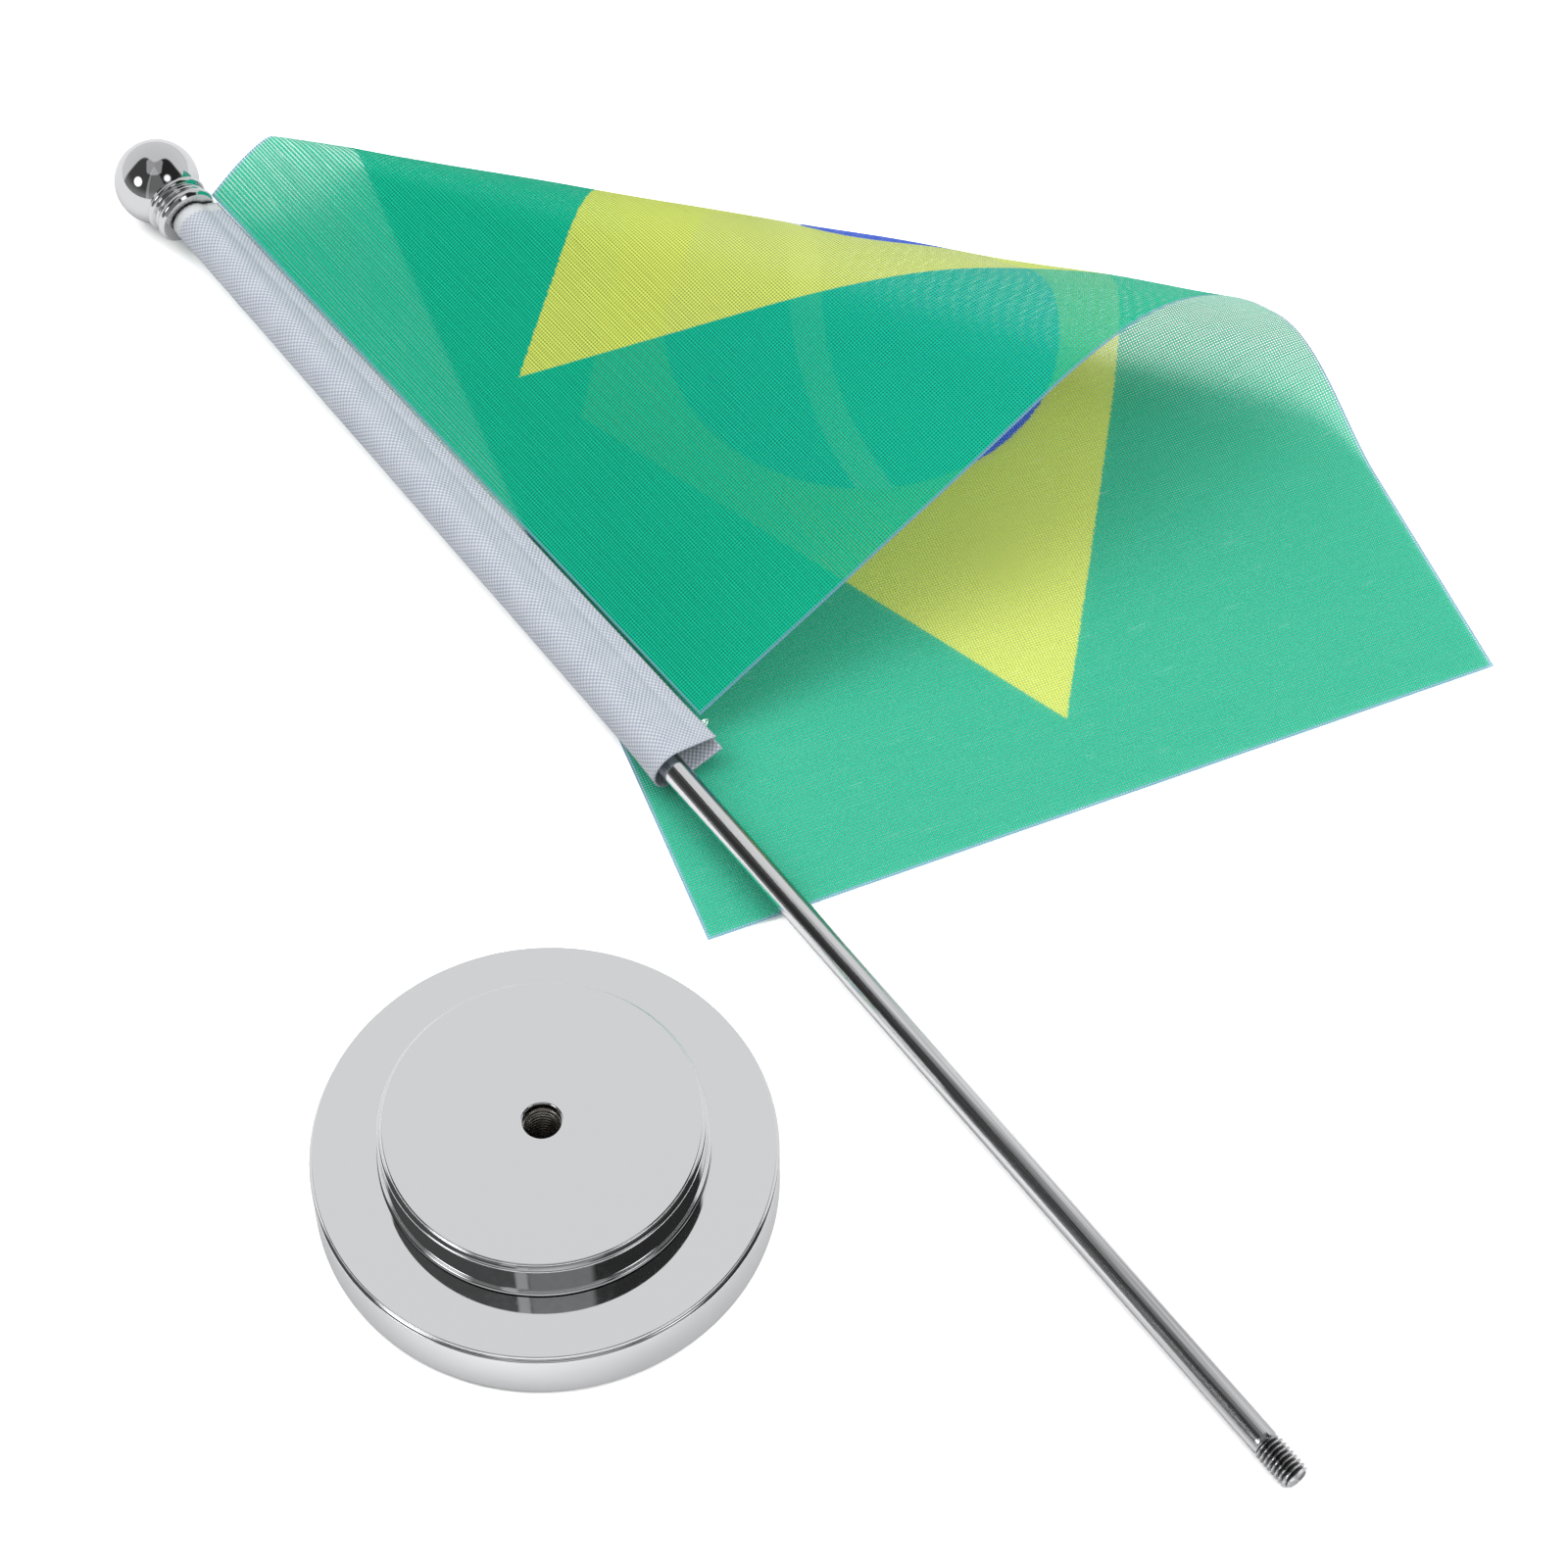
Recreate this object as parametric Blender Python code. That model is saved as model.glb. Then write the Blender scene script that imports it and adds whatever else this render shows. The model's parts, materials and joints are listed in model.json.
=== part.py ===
"""Desk flag stand, taken apart and laid out on a table.

A two-step turned base stands upright at the origin. The pole lies beside it with its
ball finial on, and the flag hangs on the pole by a white sleeve, folded once under itself.
Units are metres, +Z is up, and the origin is the centre of the base's underside.
"""
import math

import bmesh
import bpy
import numpy as np
from mathutils import Matrix, Vector

# ---- base -----------------------------------------------------------------------------
BASE_RADIUS = 0.0352
BASE_TOP = 0.0111
HUB_RADIUS = 0.0245
HUB_TOP = 0.0190
FACE_GAP = 0.0003
LIP_HEIGHT = 0.0021
PAD_RADIUS = 0.0325
PAD_THICKNESS = 0.0012
MOUTH_RADIUS = 0.0029
MOUTH_DEPTH = 0.0013
BUSH_RADIUS = 0.0040
BUSH_FLANGE_RADIUS = 0.0064
BUSH_FLANGE_THICKNESS = 0.0016
BUSH_BORE_RADIUS = 0.00265
BUSH_BOTTOM = 0.0040
FIT_CLEARANCE = 0.0003
SCREW_COUNT = 3
SCREW_CIRCLE_RADIUS = 0.0160
SCREW_RADIUS = 0.00145
SCREW_HEAD_RADIUS = 0.0028
SCREW_HEAD_BOTTOM = 0.0018
SCREW_TIP = 0.0155
SCREW_SLOT_WIDTH = 0.0008
SCREW_SLOT_DEPTH = 0.0007

# ---- pole and finial, along the pole from its threaded tip ----------------------------------
POLE_RADIUS = 0.0022
THREAD_RADIUS = 0.00235
THREAD_ROOT_RADIUS = 0.0019
THREAD_LENGTH = 0.0070
THREAD_PITCH = 0.0008
BALL_RADIUS = 0.0074
BALL_CENTRE = 0.3050
POLE_LENGTH = BALL_CENTRE - BALL_RADIUS - 0.0003
SOCKET_RADIUS = 0.0025
COLLAR_TOP = BALL_CENTRE - 0.0056
COLLAR_BOTTOM = BALL_CENTRE - 0.0102

# ---- where the pole lies --------------------------------------------------------------------
TIP_X = 0.1101
TIP_Y = -0.0500
POLE_HEADING = math.radians(127.05)
TIP_HEIGHT = THREAD_RADIUS + 0.00005

# ---- how it is stood up over the hole ---------------------------------------------------------
STANDING_TIP_HEIGHT = HUB_TOP + 0.0010
LIFT_ANGLE = math.radians(172.5)
LIFT_LEAN = math.radians(106.0)

# ---- sleeve and flag ------------------------------------------------------------------------
SLEEVE_TOP = COLLAR_BOTTOM - FIT_CLEARANCE
SLEEVE_LENGTH = 0.1418
SLEEVE_WRAP_RADIUS = 0.0032
SLEEVE_HOLE_RADIUS = 0.0026
SLEEVE_EDGE_TOP = 0.0057
SLEEVE_EDGE_BOTTOM = 0.0089
SLEEVE_FLAP_THICKNESS = 0.0010
SEAM_INSET = 0.0030
FLAG_LENGTH = 0.210
FLAG_WIDTH = 0.140
FLAG_THICKNESS = 0.0008
FLAG_FLOOR = 0.0006
HOIST_TOP_ALONG = 0.2960
HOIST_TOP_ASIDE = 0.0054
HOIST_BOTTOM_ALONG = 0.1582
HOIST_BOTTOM_ASIDE = 0.0092
HOIST_TOP_HEIGHT = 0.0080
HOIST_BOTTOM_HEIGHT = 0.0053
HOIST_GAP = 0.0006
FOLD_HEADING = math.radians(-13.4)
FLAG_CELLS_LONG = (7, 9, 2, 9, 7)
FLAG_CELLS_WIDE = 10

ROUND_STEPS = 72
SMALL_STEPS = 24
SMOOTH_ANGLE = math.radians(32)


# ---- helpers --------------------------------------------------------------------------------
def clear_scene():
    """Remove every object and mesh already in the file."""
    for obj in list(bpy.data.objects):
        bpy.data.objects.remove(obj, do_unlink=True)
    for mesh in list(bpy.data.meshes):
        bpy.data.meshes.remove(mesh)


def material(name, colour, roughness, metallic):
    """A Principled material with a plain colour."""
    made = bpy.data.materials.new(name)
    made.use_nodes = True
    shader = made.node_tree.nodes["Principled BSDF"]
    shader.inputs["Base Color"].default_value = (*colour, 1.0)
    shader.inputs["Roughness"].default_value = roughness
    shader.inputs["Metallic"].default_value = metallic
    return made


def add_object(name, mesh, finish, parent=None):
    """Put a mesh in the scene with its material, on its parent's axes."""
    obj = bpy.data.objects.new(name, mesh)
    bpy.context.scene.collection.objects.link(obj)
    if finish is not None:
        mesh.materials.append(finish)
    obj.parent = parent
    return obj


def add_empty(name, matrix, parent=None):
    """An empty that carries a frame; matrix is its world place."""
    empty = bpy.data.objects.new(name, None)
    bpy.context.scene.collection.objects.link(empty)
    empty.parent = parent
    empty.empty_display_size = 0.02
    above = parent.matrix_world.inverted() if parent else Matrix.Identity(4)
    empty.matrix_local = above @ matrix
    bpy.context.view_layer.update()
    return empty


def shade_round(mesh):
    """Smooth shading that keeps turned edges crisp."""
    mesh.shade_smooth()
    mesh.set_sharp_from_angle(angle=SMOOTH_ANGLE)


def arc(centre_r, centre_z, radius, start, end, steps):
    """Points of an arc in the profile plane; angles in degrees, 0 pointing outwards, 90 up."""
    angles = np.radians(np.linspace(start, end, steps + 1))
    return [(centre_r + radius * math.cos(a), centre_z + radius * math.sin(a)) for a in angles]


def turned_mesh(name, profile, steps):
    """Spin a closed profile of (radius, height) points about Z into one closed body.

    The side of the profile that lies on the axis, if it has one, makes no surface.
    """
    bm = bmesh.new()
    verts = [bm.verts.new((r, 0.0, z)) for r, z in profile]
    sides = [side for side in zip(verts, verts[1:] + verts[:1]) if side[0].co.x + side[1].co.x > 0]
    edges = [bm.edges.new(side) for side in sides]
    bmesh.ops.spin(bm, geom=verts + edges, axis=(0, 0, 1), cent=(0, 0, 0),
                   angle=2 * math.pi, steps=steps, use_merge=True)
    bmesh.ops.remove_doubles(bm, verts=bm.verts, dist=1e-6)
    bmesh.ops.recalc_face_normals(bm, faces=bm.faces)
    mesh = bpy.data.meshes.new(name)
    bm.to_mesh(mesh)
    bm.free()
    shade_round(mesh)
    return mesh


def cut(target, cutter):
    """Subtract a hidden cutter from a piece."""
    cutter.hide_render = True
    cutter.display_type = "WIRE"
    boolean = target.modifiers.new(cutter.name, "BOOLEAN")
    boolean.operation = "DIFFERENCE"
    boolean.solver = "EXACT"
    boolean.object = cutter


def stepped_lip(radius, top, inset):
    """The rim of a turned disc, from its wall up to its flat face: two fine rounded steps."""
    step = inset / 2
    fall = LIP_HEIGHT / 2
    bead = 0.35 * step
    points = []
    for k in range(2):
        outer = radius - k * step
        rise = top - LIP_HEIGHT + (k + 1) * fall
        points.append((outer, rise - fall))
        points += arc(outer - bead, rise - bead, bead, 0, 90, 3)
    return points


# ---- base -------------------------------------------------------------------------------------
def make_base_pad(finish):
    """The soft disc under the base, let into a shallow recess."""
    profile = [(0, 0), (PAD_RADIUS - 0.0003, 0), (PAD_RADIUS, 0.0003),
               (PAD_RADIUS, PAD_THICKNESS), (0, PAD_THICKNESS)]
    return add_object("base_pad", turned_mesh("base_pad", profile, ROUND_STEPS), finish)


def make_base_disc(finish):
    """The wide lower disc: stepped rim, recess for the pad, clearance hole for the bush."""
    foot = 0.0004
    recess = PAD_THICKNESS + FIT_CLEARANCE
    hole = BUSH_RADIUS + FIT_CLEARANCE
    profile = [(hole, recess), (PAD_RADIUS + 0.0005, recess), (PAD_RADIUS + 0.0005, foot),
               (BASE_RADIUS - 0.0004, foot), (BASE_RADIUS, foot + 0.0004)]
    profile += stepped_lip(BASE_RADIUS, BASE_TOP, 0.0007)
    profile += [(hole, BASE_TOP)]
    return add_object("base_disc", turned_mesh("base_disc", profile, ROUND_STEPS), finish)


def make_hub_disc(finish):
    """The upper disc: stepped rim, small foot fillet, bush pocket below and open mouth above."""
    bottom = BASE_TOP + FACE_GAP
    pocket = BUSH_RADIUS + FIT_CLEARANCE
    seat = BUSH_FLANGE_RADIUS + FIT_CLEARANCE
    seat_top = bottom + 2 * FIT_CLEARANCE + BUSH_FLANGE_THICKNESS
    mouth_bottom = HUB_TOP - MOUTH_DEPTH
    profile = [(seat, bottom)]
    profile += [(HUB_RADIUS + 0.0005, bottom)]
    profile += arc(HUB_RADIUS + 0.0005, bottom + 0.0006, 0.0005, 270, 180, 3)
    profile += stepped_lip(HUB_RADIUS, HUB_TOP, 0.0011)
    profile += [(MOUTH_RADIUS + 0.0003, HUB_TOP), (MOUTH_RADIUS, HUB_TOP - 0.0003),
                (MOUTH_RADIUS, mouth_bottom), (pocket, mouth_bottom),
                (pocket, seat_top), (seat, seat_top)]
    return add_object("hub_disc", turned_mesh("hub_disc", profile, ROUND_STEPS), finish)


def make_thread_bush(finish):
    """The flanged brass bush that the pole screws into, clamped between the two discs."""
    flange_bottom = BASE_TOP + FACE_GAP + FIT_CLEARANCE
    flange_top = flange_bottom + BUSH_FLANGE_THICKNESS
    top = HUB_TOP - MOUTH_DEPTH - FIT_CLEARANCE
    profile = [(BUSH_BORE_RADIUS, BUSH_BOTTOM), (BUSH_RADIUS, BUSH_BOTTOM),
               (BUSH_RADIUS, flange_bottom), (BUSH_FLANGE_RADIUS, flange_bottom),
               (BUSH_FLANGE_RADIUS, flange_top), (BUSH_RADIUS, flange_top),
               (BUSH_RADIUS, top), (BUSH_BORE_RADIUS + 0.0003, top),
               (BUSH_BORE_RADIUS, top - 0.0003)]
    return add_object("thread_bush", turned_mesh("thread_bush", profile, SMALL_STEPS), finish)


def screw_hole_mesh(name):
    """Cutter for one countersunk screw: head cone below, clearance for the shank above."""
    shank = SCREW_RADIUS + FIT_CLEARANCE
    head = SCREW_HEAD_RADIUS + FIT_CLEARANCE
    neck = SCREW_HEAD_BOTTOM + SCREW_HEAD_RADIUS - SCREW_RADIUS + FIT_CLEARANCE
    profile = [(0, -0.001), (head, -0.001), (head, SCREW_HEAD_BOTTOM), (shank, neck),
               (shank, SCREW_TIP + FIT_CLEARANCE), (0, SCREW_TIP + FIT_CLEARANCE)]
    return turned_mesh(name, profile, 20)


def make_hub_screws(finish, base_disc, hub_disc):
    """Three countersunk screws from below that pull the hub onto the lower disc."""
    neck = SCREW_HEAD_BOTTOM + SCREW_HEAD_RADIUS - SCREW_RADIUS
    profile = [(0, SCREW_HEAD_BOTTOM), (SCREW_HEAD_RADIUS, SCREW_HEAD_BOTTOM),
               (SCREW_RADIUS, neck), (SCREW_RADIUS, SCREW_TIP - 0.0005),
               (SCREW_RADIUS - 0.0005, SCREW_TIP), (0, SCREW_TIP)]
    for index in range(SCREW_COUNT):
        angle = 2 * math.pi * index / SCREW_COUNT + math.pi / 2
        place = Vector((SCREW_CIRCLE_RADIUS * math.cos(angle),
                        SCREW_CIRCLE_RADIUS * math.sin(angle), 0))
        name = f"hub_screw_{index + 1}"
        screw = add_object(name, turned_mesh(name, profile, 16), finish)
        screw.location = place
        slot_mesh = bpy.data.meshes.new(f"{name}_slot")
        bm = bmesh.new()
        bmesh.ops.create_cube(bm, size=1.0)
        bmesh.ops.scale(bm, vec=(4 * SCREW_HEAD_RADIUS, SCREW_SLOT_WIDTH, 2 * SCREW_SLOT_DEPTH),
                        verts=bm.verts)
        bm.to_mesh(slot_mesh)
        bm.free()
        slot = add_object(f"{name}_slot", slot_mesh, None)
        slot.location = place + Vector((0, 0, SCREW_HEAD_BOTTOM))
        cut(screw, slot)
        hole = add_object(f"{name}_hole", screw_hole_mesh(f"{name}_hole"), None)
        hole.location = place
        cut(base_disc, hole)
        cut(hub_disc, hole)


# ---- frames of the moving pieces ------------------------------------------------------------------
def lying_pole_matrix():
    """Frame of the lying pole: origin at its tip, +Z along it to the ball, +X level, aside."""
    rise = (BALL_RADIUS - TIP_HEIGHT) / BALL_CENTRE
    flat = math.sqrt(1 - rise * rise)
    along = Vector((flat * math.cos(POLE_HEADING), flat * math.sin(POLE_HEADING), rise))
    aside = Vector((math.sin(POLE_HEADING), -math.cos(POLE_HEADING), 0))
    above = along.cross(aside)
    matrix = Matrix((aside, above, along)).transposed().to_4x4()
    matrix.translation = Vector((TIP_X, TIP_Y, TIP_HEIGHT))
    return matrix


def lifting_hinges():
    """The two hinges, turned together, that stand the lying pole over the hole in the hub.

    The first swings the ball from where it lies to its place high over the hub, in an arc of
    LIFT_ANGLE whose axis is square to the straight line between the two places and leans by
    LIFT_LEAN about it. The second turns the pole about the ball's centre, the shortest way
    that leaves it upright. Returns the arc's centre, both axes at rest and the second angle.
    """
    lying = lying_pole_matrix()
    along = lying.col[2].xyz
    ball_down = lying @ Vector((0, 0, BALL_CENTRE))
    ball_up = Vector((0, 0, STANDING_TIP_HEIGHT + BALL_CENTRE))
    way = (ball_up - ball_down).normalized()
    level = way.cross(Vector((0, 0, 1))).normalized()
    lift_axis = level * math.cos(LIFT_LEAN) + way.cross(level) * math.sin(LIFT_LEAN)
    reach = (ball_up - ball_down).length / 2 / math.tan(LIFT_ANGLE / 2)
    centre = (ball_down + ball_up) / 2 + lift_axis.cross(way) * reach
    upright = Matrix.Rotation(-LIFT_ANGLE, 3, lift_axis) @ Vector((0, 0, 1))
    return centre, lift_axis, along.cross(upright).normalized(), along.angle(upright)


def frame_along(point, axis):
    """A frame at a point with +Z along an axis."""
    matrix = axis.to_track_quat("Z", "Y").to_matrix().to_4x4()
    matrix.translation = point
    return matrix


# ---- pole and finial ------------------------------------------------------------------------------
def make_pole(finish, frame):
    """The steel rod with its rolled thread, as a row of crests and roots."""
    profile = [(0, 0), (THREAD_ROOT_RADIUS, 0)]
    for turn in range(int(THREAD_LENGTH / THREAD_PITCH)):
        start = 0.0002 + turn * THREAD_PITCH
        profile.append((THREAD_RADIUS, start + 0.3 * THREAD_PITCH))
        profile.append((THREAD_RADIUS, start + 0.45 * THREAD_PITCH))
        profile.append((THREAD_ROOT_RADIUS, start + 0.85 * THREAD_PITCH))
    profile += [(POLE_RADIUS, THREAD_LENGTH), (POLE_RADIUS, POLE_LENGTH - 0.0004),
                (POLE_RADIUS - 0.0004, POLE_LENGTH), (0, POLE_LENGTH)]
    return add_object("pole", turned_mesh("pole", profile, SMALL_STEPS), finish, frame)


def make_finial_ball(finish, frame):
    """The ball, a full sphere about its own centre."""
    profile = arc(0, 0, BALL_RADIUS, -90, 90, 24)
    profile[0] = (0, -BALL_RADIUS)
    profile[-1] = (0, BALL_RADIUS)
    return add_object("finial_ball", turned_mesh("finial_ball", profile, 32), finish, frame)


def make_finial_collar(finish, frame):
    """The turned collar: a cup for the ball, a wide ring, a groove, a thin ring, a flared end."""
    top = COLLAR_TOP
    cup_radius = BALL_RADIUS + FACE_GAP
    rim = math.degrees(math.acos(0.0050 / cup_radius))
    socket_edge = math.degrees(math.acos(SOCKET_RADIUS / cup_radius))
    profile = arc(0, BALL_CENTRE, cup_radius, -socket_edge, -rim, 5)
    profile += arc(0.0050, top - 0.0007, 0.0007, 70, -80, 6)
    profile += [(0.0046, top - 0.0016), (0.0046, top - 0.0018)]
    profile += arc(0.0047, top - 0.0022, 0.0004, 80, -80, 4)
    profile += [(0.0045, top - 0.0028)]
    profile += arc(0.0045, COLLAR_BOTTOM + 0.0009, 0.0010, 60, -30, 4)
    profile += [(0.0050, COLLAR_BOTTOM), (SOCKET_RADIUS, COLLAR_BOTTOM)]
    return add_object("finial_collar", turned_mesh("finial_collar", profile, 32), finish, frame)


# ---- sleeve and flag ------------------------------------------------------------------------------
def sleeve_sections(along):
    """Outer and inner outlines of the sleeve at one place along the pole, as (aside, above).

    The outer one wraps the rod in an arc and closes to a flat flap towards the flag; the
    inner one is the round way through for the rod. Both have the same number of points.
    """
    share = (SLEEVE_TOP - along) / SLEEVE_LENGTH
    edge = SLEEVE_EDGE_TOP + (SLEEVE_EDGE_BOTTOM - SLEEVE_EDGE_TOP) * share
    half = SLEEVE_FLAP_THICKNESS / 2
    wrap = [(SLEEVE_WRAP_RADIUS * math.cos(a), SLEEVE_WRAP_RADIUS * math.sin(a))
            for a in np.radians(np.linspace(62, 298, 13))]
    seam = max(edge - SEAM_INSET, SLEEVE_WRAP_RADIUS + 0.0002)
    outer = wrap + [(seam, -half - 0.0004), (edge, -half), (edge, half), (seam, half + 0.0004)]
    inner = [(SLEEVE_HOLE_RADIUS * math.cos(a), SLEEVE_HOLE_RADIUS * math.sin(a))
             for a in np.radians(np.linspace(62, 298, 13))]
    inner += [(SLEEVE_HOLE_RADIUS * math.cos(a), SLEEVE_HOLE_RADIUS * math.sin(a))
              for a in np.radians([-42, -14, 14, 42])]
    return outer, inner


def make_flag_sleeve(finish, frame):
    """The white sleeve as a closed soft solid with its hole through for the rod."""
    bm = bmesh.new()
    ends = []
    for along in (SLEEVE_TOP, SLEEVE_TOP - SLEEVE_LENGTH):
        outer, inner = sleeve_sections(along)
        ends.append(([bm.verts.new((x, y, along)) for x, y in outer],
                     [bm.verts.new((x, y, along)) for x, y in inner]))
    (top_out, top_in), (low_out, low_in) = ends
    count = len(top_out)
    for i in range(count):
        j = (i + 1) % count
        bm.faces.new((top_out[i], top_out[j], low_out[j], low_out[i]))
        bm.faces.new((top_in[j], top_in[i], low_in[i], low_in[j]))
        bm.faces.new((top_out[j], top_out[i], top_in[i], top_in[j]))
        bm.faces.new((low_out[i], low_out[j], low_in[j], low_in[i]))
    bmesh.ops.recalc_face_normals(bm, faces=bm.faces)
    mesh = bpy.data.meshes.new("flag_sleeve")
    bm.to_mesh(mesh)
    bm.free()
    return add_object("flag_sleeve", mesh, finish, frame)


def make_sleeve_stitching(finish, frame):
    """The sewing thread along the sleeve's seam, as one slim bar on top of the flap."""
    half = 0.0002
    low = SLEEVE_FLAP_THICKNESS / 2 + 0.0004 + FIT_CLEARANCE
    slope = (SLEEVE_EDGE_BOTTOM - SLEEVE_EDGE_TOP) / SLEEVE_LENGTH
    bm = bmesh.new()
    rings = []
    for inset in (0.0020, SLEEVE_LENGTH - 0.0060):
        x = SLEEVE_EDGE_TOP + slope * inset - SEAM_INSET + 0.0012
        z = SLEEVE_TOP - inset
        rings.append([bm.verts.new(p) for p in
                      ((x - half, low, z), (x + half, low, z),
                       (x + half, low + half, z), (x - half, low + half, z))])
    for i in range(4):
        j = (i + 1) % 4
        bm.faces.new((rings[0][i], rings[0][j], rings[1][j], rings[1][i]))
    bm.faces.new(rings[0])
    bm.faces.new(rings[1])
    bmesh.ops.recalc_face_normals(bm, faces=bm.faces)
    mesh = bpy.data.meshes.new("sleeve_stitching")
    bm.to_mesh(mesh)
    bm.free()
    return add_object("sleeve_stitching", mesh, finish, frame)


def edge_profile(start_height, leave, rise, rise_length, crest_radius, fall, turn_radius):
    """One long edge of the flag in the upright plane across the fold, by its own length.

    It leaves the sleeve at one slope and bends to the next, goes over the crest in an arc,
    down a straight back, under in a second arc and then flat over the table. The back is as
    long as it takes to come down to the table. Angles are slopes in radians. Returns length,
    outward distance, height, and the lengths at which the four stretches before the flat end.
    """
    pieces = 24
    climb = np.linspace(leave, rise, 2 * pieces + 1)[1::2]
    drop = (start_height - FLAG_FLOOR + rise_length * np.sin(climb).mean()
            + crest_radius * (math.cos(fall) - math.cos(rise)) - turn_radius * (1 + math.cos(fall)))
    back = max(drop, 0) / math.sin(fall)
    crest = np.linspace(rise, -fall, 2 * pieces + 1)[1::2]
    under = np.linspace(-fall, -math.pi, 2 * pieces + 1)[1::2]
    slopes = np.concatenate([climb, crest, np.full(pieces, -fall), under, np.full(pieces, -math.pi)])
    lengths = [rise_length, crest_radius * (rise + fall), back, turn_radius * (math.pi - fall), 0.26]
    steps = np.concatenate([np.full(pieces, length / pieces) for length in lengths])
    run = np.concatenate([[0], np.cumsum(steps)])
    outward = np.concatenate([[0], np.cumsum(np.cos(slopes) * steps)])
    height = start_height + np.concatenate([[0], np.cumsum(np.sin(slopes) * steps)])
    return run, outward, height, np.cumsum(lengths[:4])


def flag_edges():
    """The flag's top and bottom edges: world points by length, and where each stretch ends.

    Each edge drifts along the fold at a steady rate while its profile carries it over, round
    and back under.
    """
    pole = lying_pole_matrix()
    along_fold = np.array([math.cos(FOLD_HEADING), math.sin(FOLD_HEADING), 0])
    across_fold = np.array([-math.sin(FOLD_HEADING), math.cos(FOLD_HEADING), 0])
    edges = []
    for along, aside, drift, profile in (
            (HOIST_TOP_ALONG, HOIST_TOP_ASIDE, 0.569,
             edge_profile(HOIST_TOP_HEIGHT, 1.00, 0.558, 0.0111, 0.0015, 0.850, 0.0027)),
            (HOIST_BOTTOM_ALONG, HOIST_BOTTOM_ASIDE, 0.586,
             edge_profile(HOIST_BOTTOM_HEIGHT, 0.45, 0.560, 0.0606, 0.0253, 1.121, 0.0145))):
        run, outward, height, ends = profile
        pace = math.sqrt(1 - drift * drift)
        root = np.array(pole @ Vector((aside, 0, along)))
        root[2] = 0
        points = (root + np.multiply.outer(drift / pace * run, along_fold)
                  + np.multiply.outer(outward, across_fold)
                  + np.multiply.outer(height, np.array([0, 0, 1])))
        edges.append((run / pace, points, np.concatenate([[0], ends / pace, [FLAG_LENGTH]])))
    return edges


def flag_grid():
    """World points of the flag's middle surface, rows along its length, columns down its width.

    The flag is a ruled surface: every row joins points of the top and bottom edges that have
    the same slope, so the rows run along the folds.
    """
    shares = np.linspace(0, 1, FLAG_CELLS_WIDE + 1)[None, :, None]
    sides = []
    for run, points, ends in flag_edges():
        stops = [np.linspace(a, b, cells, endpoint=False)
                 for a, b, cells in zip(ends, ends[1:], FLAG_CELLS_LONG)]
        along = np.concatenate(stops + [[FLAG_LENGTH]])
        along[0] = HOIST_GAP
        sides.append(np.stack([np.interp(along, run, points[:, k]) for k in range(3)], axis=-1))
    top, bottom = sides
    return top[:, None, :] * (1 - shares) + bottom[:, None, :] * shares


def make_flag_cloth(finish, frame):
    """The flag as a thin closed solid: its folded middle surface with half a thickness each way."""
    middle = flag_grid()
    normal = np.cross(np.gradient(middle, axis=0), np.gradient(middle, axis=1))
    normal /= np.linalg.norm(normal, axis=-1, keepdims=True)
    to_local = np.array(frame.matrix_world.inverted())
    half = FLAG_THICKNESS / 2
    bm = bmesh.new()
    sheets = []
    for side in (half, -half):
        points = middle + normal * side
        points = points @ to_local[:3, :3].T + to_local[:3, 3]
        sheets.append([[bm.verts.new(p) for p in row] for row in points])
    rows, columns = middle.shape[:2]
    for grid in sheets:
        for i in range(rows - 1):
            for j in range(columns - 1):
                bm.faces.new((grid[i][j], grid[i + 1][j], grid[i + 1][j + 1], grid[i][j + 1]))
    rim = [(i, 0) for i in range(rows)]
    rim += [(rows - 1, j) for j in range(1, columns)]
    rim += [(i, columns - 1) for i in range(rows - 2, -1, -1)]
    rim += [(0, j) for j in range(columns - 2, 0, -1)]
    for (a, b), (c, d) in zip(rim, rim[1:] + rim[:1]):
        bm.faces.new((sheets[0][a][b], sheets[1][a][b], sheets[1][c][d], sheets[0][c][d]))
    bmesh.ops.recalc_face_normals(bm, faces=bm.faces)
    mesh = bpy.data.meshes.new("flag_cloth")
    bm.to_mesh(mesh)
    bm.free()
    shade_round(mesh)
    return add_object("flag_cloth", mesh, finish, frame)


# ---- the whole stand ------------------------------------------------------------------------------
def build():
    """Make every piece in its place, laid out on the table."""
    clear_scene()
    chrome = material("chrome_plate", (0.82, 0.82, 0.83), 0.08, 1.0)
    steel = material("polished_steel", (0.62, 0.62, 0.64), 0.18, 1.0)
    brass = material("brass", (0.72, 0.55, 0.25), 0.30, 1.0)
    screw_steel = material("zinc_screw", (0.55, 0.56, 0.58), 0.35, 1.0)
    felt = material("black_felt", (0.02, 0.02, 0.02), 0.95, 0.0)
    white_cloth = material("white_cloth", (0.78, 0.80, 0.83), 0.80, 0.0)
    thread = material("white_thread", (0.85, 0.85, 0.85), 0.70, 0.0)
    printed_cloth = material("printed_cloth", (0.05, 0.55, 0.34), 0.75, 0.0)

    make_base_pad(felt)
    base_disc = make_base_disc(chrome)
    hub_disc = make_hub_disc(chrome)
    make_thread_bush(brass)
    make_hub_screws(screw_steel, base_disc, hub_disc)

    centre, lift_axis, swing_axis, _ = lifting_hinges()
    lift = add_empty("pole_lift_axis", frame_along(centre, lift_axis))
    ball_centre = lying_pole_matrix() @ Vector((0, 0, BALL_CENTRE))
    hold = add_empty("pole_swing_axis", frame_along(ball_centre, swing_axis), lift)
    make_finial_ball(chrome, hold)
    pole_line = add_empty("pole_line", lying_pole_matrix(), hold)
    make_pole(steel, pole_line)
    make_finial_collar(chrome, pole_line)
    make_flag_sleeve(white_cloth, pole_line)
    make_sleeve_stitching(thread, pole_line)
    make_flag_cloth(printed_cloth, pole_line)


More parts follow.
